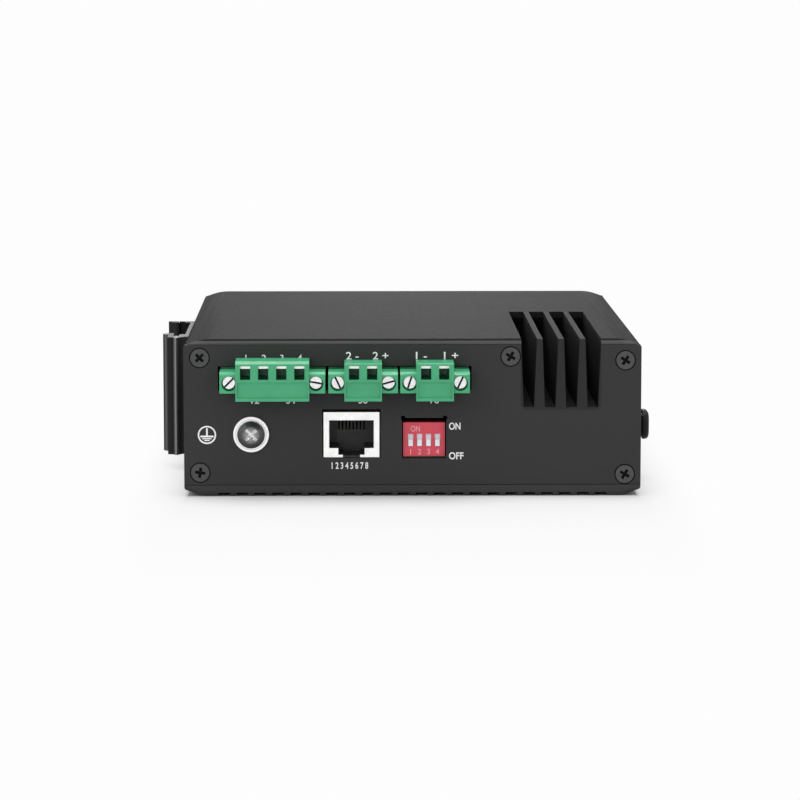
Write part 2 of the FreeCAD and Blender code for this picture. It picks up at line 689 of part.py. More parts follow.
def make_far_end_panel():
    """The plain end."""
    body = new_body("far_end_panel")
    plate = sketch_on(body, "XZ_Plane", "end_skin - case_depth")
    end_outline(plate, notched=False)
    pad(body, plate, "end_skin", reverse=True)
    holes = sketch_on(body, "XZ_Plane", "end_skin - case_depth")
    for across, up in end_screw_places(near=False):
        circle(holes, across, up, "screw_hole")
    pocket(body, holes, "end_skin")
    recesses = sketch_on(body, "XZ_Plane", "screw_head_rise - case_depth")
    for across, up in end_screw_places(near=False):
        circle(recesses, across, up, "screw_recess")
    pocket(body, recesses, "screw_head_rise")


def screw_posts(low_side, screw_low, screw_high):
    """Four posts of a side wall, which take the end screws."""
    screw_x = "end_screw_in" if low_side else "case_width - end_screw_in"
    left = "side_skin" if low_side else "case_width - side_skin - post_width"
    levels = [
        (screw_low, f"{BASE_FLOOR} + seam", f"{MAIN_FOOT} - {BASE_FLOOR} - 2 * seam"),
        (screw_high, f"{COVER_UNDER} - bevel_drop - seam - post_height", "post_height"),
    ]
    posts = []
    holes = []
    for screw, foot, height in levels:
        for start in ("end_skin", "case_depth - end_skin - post_length"):
            posts.append(block(left, start, foot, "post_width", "post_length", height))
            holes.append(rod(screw_x, start, screw, "screw_shank + 2 * thread_play", "post_length", "y"))
    return posts, holes


def make_rail_wall():
    """The side wall that carries the rail clip."""
    wall = block("0", "end_skin", "base_flange", "side_skin", INNER_DEPTH, f"{WALL_TOP} - base_flange")
    posts, holes = screw_posts(True, "rail_screw_low", "rail_screw_high")
    for along, up in clip_screw_places():
        holes.append(rod("-1", along, up, "clip_screw_shank + 2 * thread_play", "side_skin + 2", "x"))
    keep(cut(fused(wall, *posts), *holes), "rail_wall")


def make_port_wall():
    """The side wall with the windows for the fibre slot, the ports and the lights."""
    left = "case_width - side_skin"
    wall = block(left, "end_skin", "base_flange", "side_skin", INNER_DEPTH, f"{WALL_TOP} - base_flange")
    posts, holes = screw_posts(False, "port_screw_low", "port_screw_high")
    through = f"{left} - 1"
    holes.append(centred(f"{through} + (side_skin + 2) / 2", "cage_y", "main_top", "side_skin + 2",
                         "cage_width + 2 * seam", "cage_height + 2 * seam"))
    holes.append(centred(f"{through} + (side_skin + 2) / 2", "port_y", "main_top", "side_skin + 2",
                         "port_columns * port_pitch + 2 * seam", "port_height + seam"))
    for step in range(count_of("light_count")):
        holes.append(rod(through, "light_y", f"light_z + {step} * light_pitch",
                         "light_width + 2 * thread_play", "side_skin + 2", "x"))
    keep(cut(fused(wall, *posts), *holes), "port_wall")


def make_heat_sink():
    """A finned block under the top cover; its ribs finish flush with cover and end panel."""
    body = new_body("heat_sink")
    hidden = sketch_on(body, "XZ_Plane", "-end_skin")
    rectangle(hidden, "sink_left - sink_wall", "sink_base", "sink_slots_right - sink_left + 2 * sink_wall",
              f"{COVER_UNDER} - sink_base")
    pad(body, hidden, "sink_rear - end_skin", reverse=True)
    boss = sketch_on(body, "XZ_Plane", "-end_skin")
    rectangle(boss, "sink_left - sink_wall - boss_width", "sink_screw_z - boss_foot",
              "boss_width + sink_wall", f"{COVER_UNDER} - sink_screw_z + boss_foot")
    pad(body, boss, "boss_length", reverse=True)
    nose = sketch_on(body, "XZ_Plane")
    rectangle(nose, "sink_left + sink_fit", "sink_notch + sink_fit",
              "sink_slots_right - sink_left - 2 * sink_fit", "case_height - sink_notch - sink_fit")
    pad(body, nose, "slot_length - sink_fit", reverse=True)
    fillet_edges(body, "notch_round - sink_fit", lowest(body, lambda box: box.YMin < 0.01))
    thread = sketch_on(body, "XZ_Plane")
    circle(thread, "sink_screw_x", "sink_screw_z", "screw_shank + 2 * thread_play")
    pocket(body, thread, "end_skin + boss_length - 1")
    slots = sketch_on(body, "XZ_Plane", "1")
    for step in range(count_of("slot_count")):
        middle = f"sink_left + slot_mouth / 2 + {step} * slot_pitch"
        polygon(slots, [(f"{middle} - slot_root / 2", "slot_floor"),
                        (f"{middle} + slot_root / 2", "slot_floor"),
                        (f"{middle} + slot_mouth / 2", "case_height"),
                        (f"{middle} + slot_mouth / 2", "case_height + 1"),
                        (f"{middle} - slot_mouth / 2", "case_height + 1"),
                        (f"{middle} - slot_mouth / 2", "case_height")])
    pocket(body, slots, "slot_length + 1")


# Fasteners

def cross_tools(x, y, z, along, turned, span="cross_span", arm="cross_width", depth="cross_depth"):
    """Two crossed bars that cut a Phillips recess, from a point on the head, along an axis."""
    bars = []
    for angle in (turned, turned + 90.0):
        cosine = round(math.cos(math.radians(angle)), 6)
        sine = round(math.sin(math.radians(angle)), 6)
        bar = DOC.addObject("Part::Box", "CrossBar")
        if along == "y":
            bar.Placement.Rotation = FreeCAD.Rotation(FreeCAD.Vector(0, 1, 0), angle)
            bind(bar, Length=span, Width=depth, Height=arm)
            place(bar, f"{x} - {span} / 2 * ({cosine}) - {arm} / 2 * ({sine})", y,
                  f"{z} + {span} / 2 * ({sine}) - {arm} / 2 * ({cosine})")
        elif along == "x":
            bar.Placement.Rotation = FreeCAD.Rotation(FreeCAD.Vector(1, 0, 0), angle)
            bind(bar, Length=depth, Width=span, Height=arm)
            place(bar, x, f"{y} - {span} / 2 * ({cosine}) + {arm} / 2 * ({sine})",
                  f"{z} - {span} / 2 * ({sine}) - {arm} / 2 * ({cosine})")
        else:
            bar.Placement.Rotation = FreeCAD.Rotation(FreeCAD.Vector(0, 0, 1), angle)
            bind(bar, Length=span, Width=arm, Height=depth)
            place(bar, f"{x} - {span} / 2 * ({cosine}) + {arm} / 2 * ({sine})",
                  f"{y} - {span} / 2 * ({sine}) - {arm} / 2 * ({cosine})", z)
        bars.append(bar)
    return bars


def make_end_screws(label, near):
    """Flat black screws, set into the recesses of an end panel."""
    screws = []
    turns = [8.0, 45.0, 30.0, 33.0, 30.0]
    for (across, up), turned in zip(end_screw_places(near), turns):
        if near:
            head = rod(across, "0", up, "screw_head", "screw_head_rise", "y")
            shank = rod(across, "screw_head_rise", up, "screw_shank", "screw_length", "y")
            recess = cross_tools(across, "0", up, "y", turned)
        else:
            face = "case_depth - screw_head_rise"
            head = rod(across, face, up, "screw_head", "screw_head_rise", "y")
            shank = rod(across, f"{face} - screw_length", up, "screw_shank", "screw_length", "y")
            recess = cross_tools(across, "case_depth - cross_depth", up, "y", turned)
        screws.append(cut(fused(head, shank), *recess))
    group(screws, label)


def four_places(x, step_x, y, step_y):
    return [(f"{x} + {column} * {step_x}", f"{y} + {row} * {step_y}") for column in (0, 1)
            for row in (0, 1)]


def make_standoffs():
    """Posts pressed into the base, under the main board."""
    posts = []
    for across, along in four_places("stand_x", "stand_step_x", "stand_y", "stand_step_y"):
        post = rod(across, along, BASE_FLOOR, "stand_across", f"{MAIN_FOOT} - {BASE_FLOOR}")
        bore = rod(across, along, f"{BASE_FLOOR} + cover_skin", "stand_hole", "main_top")
        posts.append(cut(post, bore))
    group(posts, "board_standoffs")


def make_pillars():
    """Pillars between the two boards."""
    posts = []
    for across, along in four_places("pillar_x", "pillar_step_x", "pillar_y", "pillar_step_y"):
        post = rod(across, along, "main_top", "stand_across", f"{POWER_FOOT} - main_top")
        bore = rod(across, along, "main_top + cover_skin", "stand_hole", "power_top")
        posts.append(cut(post, bore))
    group(posts, "power_board_pillars")


def board_screw(across, along, top):
    head = rod(across, along, top, "pan_head", "pan_rise")
    shank = rod(across, along, f"{top} - 3 * board_skin", "stand_hole - 2 * thread_play", "3 * board_skin")
    recess = cross_tools(across, along, f"{top} + pan_rise - cross_depth", "z", 45.0)
    return cut(fused(head, shank), *recess)


def make_board_screws():
    """Pan-head screws that hold both boards to their posts."""
    low = four_places("stand_x", "stand_step_x", "stand_y", "stand_step_y")
    high = four_places("pillar_x", "pillar_step_x", "pillar_y", "pillar_step_y")
    group([board_screw(across, along, "main_top") for across, along in low], "main_board_screws")
    group([board_screw(across, along, "power_top") for across, along in high], "power_board_screws")


def make_earth_screw():
    """The earthing screw with its washer outside and its nut behind the panel."""
    seat = "(0 - earth_washer_rise)"
    washer = rod("earth_x", seat, "earth_z", "earth_washer", "earth_washer_rise", "y")
    bore = rod("earth_x", "-earth_washer_rise - 1", "earth_z", "earth_shank + 2 * thread_play",
               "earth_washer_rise + 2", "y")
    dish = rod("earth_x", f"{seat} - 1", "earth_z", "earth_washer - 2 * earth_rim", "1 + earth_dish", "y")
    keep(cut(washer, bore, dish), "earth_washer")

    base = f"({seat} + earth_dish)"
    crown = "(earth_rise - cover_skin)"
    rim = rod("earth_x", f"{base} - cover_skin", "earth_z", "earth_head", "cover_skin", "y")
    dome = cone("earth_x", f"{base} - earth_rise", "earth_z", "earth_crown", "earth_head", crown, "y")
    shank = rod("earth_x", base, "earth_z", "earth_shank", "earth_washer_rise + end_skin + earth_nut_rise",
                "y")
    recess = cross_tools("earth_x", f"{base} - earth_rise", "earth_z", "y", 45.0, "earth_cross",
                         "earth_cross_arm", "earth_cross_depth")
    keep(cut(fused(rim, dome, shank), *recess), "earth_screw")

    nut = rod("earth_x", "end_skin", "earth_z", "earth_nut", "earth_nut_rise", "y")
    thread = rod("earth_x", "end_skin", "earth_z", "earth_shank + 2 * thread_play", "earth_nut_rise + 1",
                 "y")
    keep(cut(nut, thread), "earth_nut")


# Boards

def make_boards():
    """The main board over the base and the power board above it."""
    edge = "(board_gap + side_skin)"
    end = "(board_gap + end_skin)"
    main = block(edge, end, MAIN_FOOT, f"case_width - 2 * {edge}", f"case_depth - 2 * {end}", "board_skin")
    low = four_places("stand_x", "stand_step_x", "stand_y", "stand_step_y")
    holes = [rod(across, along, f"{MAIN_FOOT} - 1", "screw_hole", "board_skin + 2") for across, along in low]
    keep(cut(main, *holes), "main_board")

    power = block("power_left", end, POWER_FOOT, "power_width", "power_depth", "board_skin")
    high = four_places("pillar_x", "pillar_step_x", "pillar_y", "pillar_step_y")
    holes = [rod(across, along, f"{POWER_FOOT} - 1", "screw_hole", "board_skin + 2")
             for across, along in high]
    keep(cut(power, *holes), "power_board")


def make_board_parts():
    """Tall and warm parts that the boards carry."""
    chip = centred("chip_x", "chip_y", "main_top", "chip_width", "chip_width", "chip_rise")
    keep(chip, "switch_chip")
    pad_foot = "(main_top + chip_rise)"
    sheet = centred("chip_x", "chip_y", pad_foot, "chip_width", "chip_width", "pad_rise")
    keep(sheet, "thermal_pad")
    heat_foot = f"({pad_foot} + pad_rise)"
    bridge = centred("chip_x", "chip_y", heat_foot, "chip_width", "chip_width", f"sink_base - {heat_foot}")
    keep(bridge, "heat_bridge")
    cans = []
    for step in range(count_of("can_count")):
        across = f"can_x + {step} * can_pitch"
        shell = rod(across, "can_y", "power_top", "can_width", "can_rise")
        cans.append(shell)
    group(cans, "capacitors")
    coil = centred("coil_x", "coil_y", "power_top", "coil_width", "coil_width", "coil_rise")
    keep(coil, "power_coil")
    magnets = []
    for step in range(count_of("port_columns")):
        magnets.append(centred("magnet_x", f"magnet_y + {step} * port_pitch", "main_top",
                               "magnet_width", "magnet_length", "magnet_rise"))
    group(magnets, "port_transformers")
    link = centred("link_x", "link_y", "main_top", "link_length", "link_width", f"{POWER_FOOT} - main_top")
    keep(link, "board_link")


# Pluggable terminals

HEADER_LOW = "(power_top + plug_gap)"


def pole_places(middle, poles):
    """Give the x of each pole of a terminal."""
    return [f"({middle} + ({step} - ({poles} - 1) / 2) * pole_pitch)" for step in range(count_of(poles))]


def ear_places(middle, poles, side):
    """Give the x of both points that lie a distance outside the end poles."""
    half = f"(({poles} - 1) / 2 * pole_pitch + {side})"
    return [f"({middle} - {half})", f"({middle} + {half})"]


def make_header(label, middle, poles):
    """A pin header on the power board, with a threaded ear at each end."""
    left, right = ear_places(middle, poles, "ear_side")
    rear = "(end_skin + plug_gap)"
    shell = block(left, rear, HEADER_LOW, f"{right} - {left}", f"header_depth - {rear}", "header_height")
    nose = block(left, "-header_proud", "terminal_z - header_nose / 2", f"{right} - {left}",
                 f"header_proud + {rear}", "header_nose")
    span = f"({poles} * pole_pitch)"
    cavity = centred(middle, "(tongue_length - 2 * header_proud) / 2",
                     "terminal_z - tongue_height / 2 - seam", span, "tongue_length + 2",
                     "tongue_height + 2 * seam")
    threads = [rod(across, "-header_proud - 1", "terminal_z", "ear_shank + 2 * thread_play",
                   "ear_shank_length", "y")
               for across in ear_places(middle, poles, "ear_screw_side")]
    pin_ways = [centred(across, "header_depth / 2", "terminal_z - pin_size / 2", "pin_size",
                        "header_depth + 2", "pin_size")
                for across in pole_places(middle, poles)]
    keep(cut(fused(shell, nose), cavity, *threads, *pin_ways), label)


def header_pins(middle, poles):
    """Angled pins, from inside the header back and down into the power board."""
    pins = []
    for across in pole_places(middle, poles):
        level_run = block(f"{across} - pin_size / 2", "1", "terminal_z - pin_size / 2", "pin_size",
                          "header_depth + pin_size", "pin_size")
        down_run = block(f"{across} - pin_size / 2", "header_depth + plug_gap", "power_top", "pin_size",
                         "pin_size", "terminal_rise")
        pins.append(fused(level_run, down_run))
    return pins


def make_plug(label, middle, poles, rise):
    """A plug with wire entries on its face, clamp screws below and a screwed flange at each end."""
    body = new_body(label, middle)
    rear = "(0 - header_proud - plug_gap)"
    half = f"({poles} * pole_pitch / 2 + plug_side)"
    low = "(terminal_z - plug_below)"
    high = f"(terminal_z + plug_above + {rise})"
    front = "(0 - plug_reach)"

    block_side = sketch_on(body, "YZ_Plane", f"0 - {half}")
    polygon(block_side, [(rear, low), (front, low), (front, f"{high} - {rise} - seam"),
                         (f"{front} + {rise} + seam", high), (rear, high)])
    pad(body, block_side, f"2 * {half}")

    ear_half = f"(({poles} - 1) / 2 * pole_pitch + ear_side)"
    ear_side = sketch_on(body, "YZ_Plane", f"0 - {ear_half}")
    ear_front = "(0 - ear_reach)"
    ear_high = "(terminal_z + ear_above)"
    polygon(ear_side, [(rear, "terminal_z - ear_below"), (ear_front, "terminal_z - ear_below"),
                       (ear_front, f"{ear_high} - ear_chamfer"), (f"{ear_front} + ear_chamfer", ear_high),
                       (rear, ear_high)])
    pad(body, ear_side, f"2 * {ear_half}")

    tongue = sketch_on(body, "XZ_Plane", f"1 - {rear}")
    tongue_half = f"({poles} * pole_pitch / 2 - seam)"
    rectangle(tongue, f"0 - {tongue_half}", "terminal_z - tongue_height / 2", f"2 * {tongue_half}",
              "tongue_height")
    pad(body, tongue, "tongue_length + 1", reverse=True)

    face = sketch_on(body, "XZ_Plane", "plug_reach")
    rectangle(face, f"face_inset - {half}", f"{low} + lip_height", f"2 * {half} - 2 * face_inset",
              "face_height")
    pocket(body, face, "face_recess")

    entries = sketch_on(body, "XZ_Plane", "plug_reach")
    ways = sketch_on(body, "XZ_Plane", "0 - tongue_length")
    wells = sketch_on(body, "XY_Plane", low)
    for across in pole_places("0", poles):
        rectangle(entries, f"{across} - wire_width / 2", "terminal_z + wire_lift", "wire_width",
                  "wire_height")
        rectangle(ways, f"{across} - pin_size / 2 - seam", "terminal_z - pin_size / 2 - seam",
                  "pin_size + 2 * seam", "pin_size + 2 * seam")
        circle(wells, across, "wire_depth / 2 - plug_reach", "ear_shank + 4 * seam")
    pocket(body, entries, "wire_depth")
    pocket(body, ways, "tongue_length", reverse=True)
    pocket(body, wells, "plug_below + wire_lift + seam", reverse=True)

    bores = sketch_on(body, "XZ_Plane", "ear_reach")
    shanks = sketch_on(body, "XZ_Plane", "ear_reach")
    for across in ear_places("0", poles, "ear_screw_side"):
        circle(bores, across, "terminal_z - ear_bore_drop", "ear_screw_bore")
        circle(shanks, across, "terminal_z", "ear_shank + 2 * seam")
    pocket(body, bores, "ear_screw_sink + ear_screw_rise")
    pocket(body, shanks, "ear_reach")


TERMINALS = [
    ("signal", "signal_x", "signal_poles", "signal_rise", (-45.0, 10.0)),
    ("power_two", "power_two_x", "power_poles", "0", (65.0, -15.0)),
    ("power_one", "power_one_x", "power_poles", "0", (-72.0, -65.0)),
]


def make_terminals():
    """Headers, plugs and their small metal parts."""
    pins = []
    clamps = []
    clamp_screws = []
    ear_screws = []
    for name, middle, poles, rise, turns in TERMINALS:
        make_header(f"{name}_header", middle, poles)
        make_plug(f"{name}_plug", middle, poles, rise)
        pins.extend(header_pins(middle, poles))
        for across in pole_places(middle, poles):
            clamps.append(wire_clamp(across))
            clamp_screws.append(clamp_screw(across))
        for across, turned in zip(ear_places(middle, poles, "ear_screw_side"), turns):
            ear_screws.append(ear_screw(across, turned))
    group(pins, "header_pins")
    group(clamps, "wire_clamps")
    group(clamp_screws, "clamp_screws")
    group(ear_screws, "plug_flange_screws")


def wire_clamp(across):
    """A metal cage deep in a wire entry, with a thick lip along its top."""
    outer_width = "(wire_width - 2 * thread_play)"
    outer_height = "(wire_height - 2 * thread_play)"
    start = "(wire_depth / 2 - plug_reach)"
    foot = "(terminal_z + wire_lift + thread_play)"
    length = "(wire_depth / 2 - seam)"
    cage = block(f"{across} - {outer_width} / 2", start, foot, outer_width, length, outer_height)
    room = block(f"{across} - {outer_width} / 2 + clamp_skin", f"{start} - 1", f"{foot} + clamp_skin",
                 f"{outer_width} - 2 * clamp_skin", f"{length} + 2", f"{outer_height} - 2 * clamp_skin")
    lip = block(f"{across} - {outer_width} / 2", "wire_depth / 4 - plug_reach",
                f"{foot} + {outer_height} - clamp_lip", outer_width, "wire_depth / 2", "clamp_lip")
    return fused(cut(cage, room), lip)


def clamp_screw(across):
    """A slotted screw in the well under a wire entry."""
    along = "(wire_depth / 2 - plug_reach)"
    foot = "(terminal_z - plug_below + 2 * seam)"
    length = "(plug_below + wire_lift - 3 * seam)"
    shank = rod(across, along, foot, "ear_shank + 3 * seam", length)
    slot = centred(across, along, foot, "ear_shank * 2", "driver_slot", "driver_slot * 1.5")
    return cut(shank, slot)


def ear_screw(across, turned):
    """A slotted flange screw, from the plug's flange into the header."""
    start = "(ear_screw_sink - ear_reach)"
    head = rod(across, start, "terminal_z", "ear_screw", "ear_screw_rise", "y")
    shank = rod(across, f"{start} + ear_screw_rise", "terminal_z", "ear_shank", "ear_shank_length", "y")
    slot = cross_tools(across, start, "terminal_z", "y", turned, "(ear_screw + 1)", "driver_slot",
                       "driver_slot * 2")[0]
    return cut(fused(head, shank), slot)


# Console socket and option switch

def make_console_socket():
    """A shielded socket with its tab side down: metal shell, moulded insert and contact wires."""
    front = "jack_set_back"
    left = "(jack_x - jack_width / 2)"
    shell = block(left, front, "main_top", "jack_width", "jack_depth", "jack_height")
    room = block(f"{left} + jack_skin", f"{front} + jack_skin", "main_top + jack_skin",
                 "jack_width - 2 * jack_skin", "jack_depth", "jack_height - 2 * jack_skin")
    mouth_low = "(main_top + jack_mouth_low)"

    def openings(length):
        middle = f"{front} - 1 + ({length}) / 2"
        return [
            centred("jack_x", middle, mouth_low, "jack_mouth", length, "jack_mouth_height"),
            centred("jack_x", middle, f"{mouth_low} - jack_step_drop", "jack_step", length,
                    "jack_step_drop + 1"),
        ]

    tongue_way = centred("jack_x", f"{front} + jack_depth / 2", "main_top - 1", "jack_latch",
                         "jack_depth + 2", "jack_mouth_low")
    keep(cut(shell, room, tongue_way, *openings("jack_skin + 2")), "console_shield")
    insert = block(f"{left} + jack_skin", f"{front} + jack_skin", "main_top + jack_skin",
                   "jack_width - 2 * jack_skin", "jack_depth - jack_skin", "jack_height - 2 * jack_skin")
    sole = centred("jack_x", f"{front} + (jack_depth + jack_skin) / 2", "main_top",
                   "jack_latch - 2 * thread_play", "jack_depth - jack_skin", "2 * jack_skin")
    latch = centred("jack_x", f"{front} - 1 + jack_cavity / 2", "main_top + jack_skin", "jack_latch",
                    "jack_cavity", "jack_mouth_low")
    keep(cut(fused(insert, sole), latch, *openings("jack_cavity + 1")), "console_insert")
    wires = []
    ceiling = f"({mouth_low} + jack_mouth_height)"
    for step in range(count_of("wire_count")):
        across = f"jack_x + ({step} - (wire_count - 1) / 2) * wire_pitch - contact_width / 2"
        root = block(across, "jack_cavity - 3", f"{ceiling} - contact_width", "contact_width", "3",
                     "contact_width")
        spring = DOC.addObject("Part::Box", "Spring")
        spring.Placement.Rotation = FreeCAD.Rotation(FreeCAD.Vector(1, 0, 0), 18)
        bind(spring, Length="contact_width", Width="jack_cavity - 4", Height="contact_width")
        place(spring, across, "2", f"{ceiling} - jack_mouth_height / 2.4")
        wires.append(fused(root, spring))
    group(wires, "console_contacts")


DIP_FOOT = "(main_top + dip_lift)"
SLIDE_LOW = f"({DIP_FOOT} + lever_slot_low - lever_slot_height + lever_height - lever_play)"
SLIDE_HEIGHT = "(2 * lever_slot_height - lever_height + 2 * lever_play)"
LEVER_TRAVEL = "(lever_slot_height - lever_height - 2 * lever_play)"


def lever_places():
    return [f"(dip_x + ({step} - (lever_count - 1) / 2) * lever_pitch)"
            for step in range(count_of("lever_count"))]


def make_option_switch():
    """A small switch block with a row of sliding levers, all in their lower place."""
    front = "dip_set_back"
    base = centred("dip_x", f"{front} + dip_depth / 2", DIP_FOOT, "dip_width", "dip_depth", "dip_height")
    tools = []
    slide_width = "(lever_slot_width + 0.4)"
    for step, across in enumerate(lever_places()):
        slot_depth = "(lever_face + 2)"
        tools.append(centred(across, f"{front} - 1 + {slot_depth} / 2", f"{DIP_FOOT} + lever_slot_low",
                             "lever_slot_width", slot_depth, "lever_slot_height"))
        track = "(lever_plate + 2 * lever_play)"
        tools.append(centred(across, f"{front} + lever_face + {track} / 2", f"{SLIDE_LOW} - lever_play",
                             f"{slide_width} + 2 * lever_play", track,
                             f"{SLIDE_HEIGHT} + {LEVER_TRAVEL} + 2 * lever_play"))
        plate = centred(across, f"{front} + lever_face + lever_play + lever_plate / 2", SLIDE_LOW,
                        slide_width, "lever_plate", SLIDE_HEIGHT)
        knob_depth = "(lever_proud + lever_face + lever_play + lever_plate / 2)"
        knob = centred(across, f"{front} - lever_proud + {knob_depth} / 2",
                       f"{DIP_FOOT} + lever_slot_low + lever_play", "lever_width", knob_depth,
                       "lever_height")
        keep(fused(plate, knob), f"option_lever_{step + 1}")
    keep(cut(base, *tools), "option_switch")


# Port side

PORT_FACE = "(case_width + port_proud)"


def make_fibre_slot():
    """A pluggable fibre cage with a rubber dust plug."""
    face = "(case_width + cage_proud)"
    cage = centred(f"{face} - cage_length / 2", "cage_y", "main_top", "cage_length", "cage_width",
                   "cage_height")
    room = centred(f"{face} - cage_length / 2 + cage_skin", "cage_y", "main_top + cage_skin",
                   "cage_length", "cage_width - 2 * cage_skin", "cage_height - 2 * cage_skin")
    keep(cut(cage, room), "fibre_cage")

    plug = new_body("dust_plug", "case_width", "cage_y", "main_top + cage_height / 2")
    stem = sketch_on(plug, "YZ_Plane", "cage_proud - dust_stem")
    rectangle(stem, "cage_skin + seam - cage_width / 2", "cage_skin + seam - cage_height / 2",
              "cage_width - 2 * cage_skin - 2 * seam", "cage_height - 2 * cage_skin - 2 * seam")
    pad(plug, stem, "dust_stem")
    neck = sketch_on(plug, "YZ_Plane", "0")
    rectangle(neck, "0 - dust_neck_width / 2", "0 - dust_neck_height / 2", "dust_neck_width",
              "dust_neck_height")
    pad(plug, neck, "dust_rise - dust_cap")
    cap = sketch_on(plug, "YZ_Plane", "dust_rise - dust_cap")
    rectangle(cap, "0 - dust_cap_width / 2", "0 - dust_cap_height / 2", "dust_cap_width",
              "dust_cap_height")
    pad(plug, cap, "dust_cap")
    crown = amount_of("dust_rise")
    under = crown - amount_of("dust_cap")
    fillet_edges(plug, "dust_cap_corner", lambda edge: abs(edge.BoundBox.XMin - under) < 0.01
                 and abs(edge.BoundBox.XMax - crown) < 0.01)
    fillet_edges(plug, "dust_cap_round", lambda edge: abs(edge.BoundBox.XMin - crown) < 0.01
                 and abs(edge.BoundBox.XMax - crown) < 0.01)


def port_places():
    """Give the middle of each port along the wall and up, and which way its keyway points."""
    spots = []
    for row, keyway in ((0, -1), (1, 1)):
        for column in range(count_of("port_columns")):
            along = f"(port_y + ({column} - (port_columns - 1) / 2) * port_pitch)"
            up = f"(main_top + port_height / 2 + ({row} - 0.5) * port_rows_pitch)"
            spots.append((along, up, keyway))
    return spots


def port_openings(start, length):
    """The mouth and keyway of every port, from a point inwards."""
    tools = []
    for along, up, keyway in port_places():
        tools.append(centred(f"{start} - ({length}) / 2", along, f"{up} - port_mouth_height / 2", length,
                             "port_mouth", "port_mouth_height"))
        key_low = f"{up} - port_mouth_height / 2 - port_key_depth" if keyway < 0 else up
        tools.append(centred(f"{start} - ({length}) / 2", along, key_low, length, "port_key",
                             "port_mouth_height / 2 + port_key_depth"))
    return tools


def make_port_block():
    """Two rows of shielded network ports in one block on the main board."""
    middle = f"({PORT_FACE} - port_depth / 2)"
    width = "(port_columns * port_pitch)"
    shell = centred(middle, "port_y", "main_top", "port_depth", width, "port_height")
    room = centred(f"{middle} - jack_skin", "port_y", "main_top + jack_skin", "port_depth",
                   f"{width} - 2 * jack_skin", "port_height - 2 * jack_skin")
    keep(cut(shell, room, *port_openings(f"({PORT_FACE} + 1)", "jack_skin + 2")), "port_shield")
    insert = centred(f"{middle} - jack_skin / 2", "port_y", "main_top + jack_skin",
                     "port_depth - jack_skin", f"{width} - 2 * jack_skin", "port_height - 2 * jack_skin")
    keep(cut(insert, *port_openings(f"({PORT_FACE} + 1)", "port_cavity + 1")), "port_insert")
    wires = []
    for along, up, keyway in port_places():
        for step in range(count_of("wire_count")):
            start = f"{along} + ({step} - (wire_count - 1) / 2) * wire_pitch - contact_width / 2"
            height = f"{up} - ({keyway}) * (port_mouth_height / 2 - contact_width / 2) - contact_width / 2"
            wires.append(block(f"{PORT_FACE} - port_cavity", start, height, "port_cavity - 3",
                               "contact_width", "contact_width"))
    group(wires, "port_contacts")


def make_status_lights():
    lights = []
    for step in range(count_of("light_count")):
        lights.append(rod("case_width - light_pipe", "light_y", f"light_z + {step} * light_pitch",
                          "light_width", "light_pipe + light_proud", "x"))
    group(lights, "status_lights")


# Rail clip

NEAR_TIP = "(clip_near + near_block + near_lip_back)"
FAR_TIP = f"({NEAR_TIP} + hook_gap)"


def clip_screw_places():
    """Give the clip screws' places along the wall and up."""
    middle = f"(({NEAR_TIP} + {FAR_TIP}) / 2)"
    level = "(clip_low + clip_height / 2)"
    return [(f"({middle} + ({along}) * clip_screw_along / 2)", f"({level} + ({up}) * clip_screw_step / 2)")
            for along in (-1, 1) for up in (-1, 1)]


def make_rail_clip():
    """An extruded clip: a plate with a deep hook above the rail and a snap hook below it."""
    body = new_body("rail_clip")
    profile = sketch_on(body, "XY_Plane", "clip_low")
    slot_far = "rail_slot_out + rail_slot"
    side = [
        ("0", "clip_near + 2 * ridge_rise"),
        ("ridge_out / 3", "clip_near + 1.8 * ridge_rise"),
        ("ridge_out * 0.7", "clip_near + 1.1 * ridge_rise"),
        ("ridge_out", "clip_near"),
        ("ridge_out + (near_reach - ridge_out) * 0.4", "clip_near + 0.75 * ridge_rise"),
        ("near_reach", "clip_near + ridge_rise"),
        ("near_reach", f"{NEAR_TIP} - near_lip_back - flare_length"),
        ("near_reach + flare_out", f"{NEAR_TIP} - near_lip_back"),
        ("near_reach + flare_out", f"{NEAR_TIP} - near_lip_back + flare_length"),
        ("near_reach", NEAR_TIP),
        (slot_far, NEAR_TIP),
        (slot_far, "clip_near + near_slot_floor"),
        ("rail_slot_out", "clip_near + near_slot_floor"),
        ("rail_slot_out", "clip_near + near_block"),
        ("clip_web", "clip_near + near_block"),
        ("clip_web", FAR_TIP),
        ("rail_slot_out", FAR_TIP),
        ("rail_slot_out", f"{FAR_TIP} + hook_slot_deep"),
        (slot_far, f"{FAR_TIP} + hook_slot_deep"),
        (slot_far, FAR_TIP),
        (f"{slot_far} + hook_land", FAR_TIP),
        ("hook_reach", f"{FAR_TIP} + hook_length * 0.6"),
        ("hook_reach", f"{FAR_TIP} + hook_length"),
        ("0", f"{FAR_TIP} + hook_length"),
    ]
    polygon(profile, [(f"0 - ({out})", along) for out, along in side])
    pad(body, profile, "clip_height")
    holes = sketch_on(body, "YZ_Plane", "0 - clip_web")
    recesses = sketch_on(body, "YZ_Plane", "0 - clip_web")
    for along, up in clip_screw_places():
        circle(holes, along, up, "clip_screw_shank + 2 * seam")
        circle(recesses, along, up, "clip_screw_head + 2 * seam")
    pocket(body, holes, "clip_web", reverse=True)
    pocket(body, recesses, "clip_screw_rise", reverse=True)


def make_clip_screws():
    screws = []
    for along, up in clip_screw_places():
        head = rod("-clip_web", along, up, "clip_screw_head", "clip_screw_rise", "x")
        shank = rod("clip_screw_rise - clip_web", along, up, "clip_screw_shank", "clip_screw_length", "x")
        screws.append(cut(fused(head, shank), *cross_tools("-clip_web", along, up, "x", 20.0)))
    group(screws, "clip_screws")


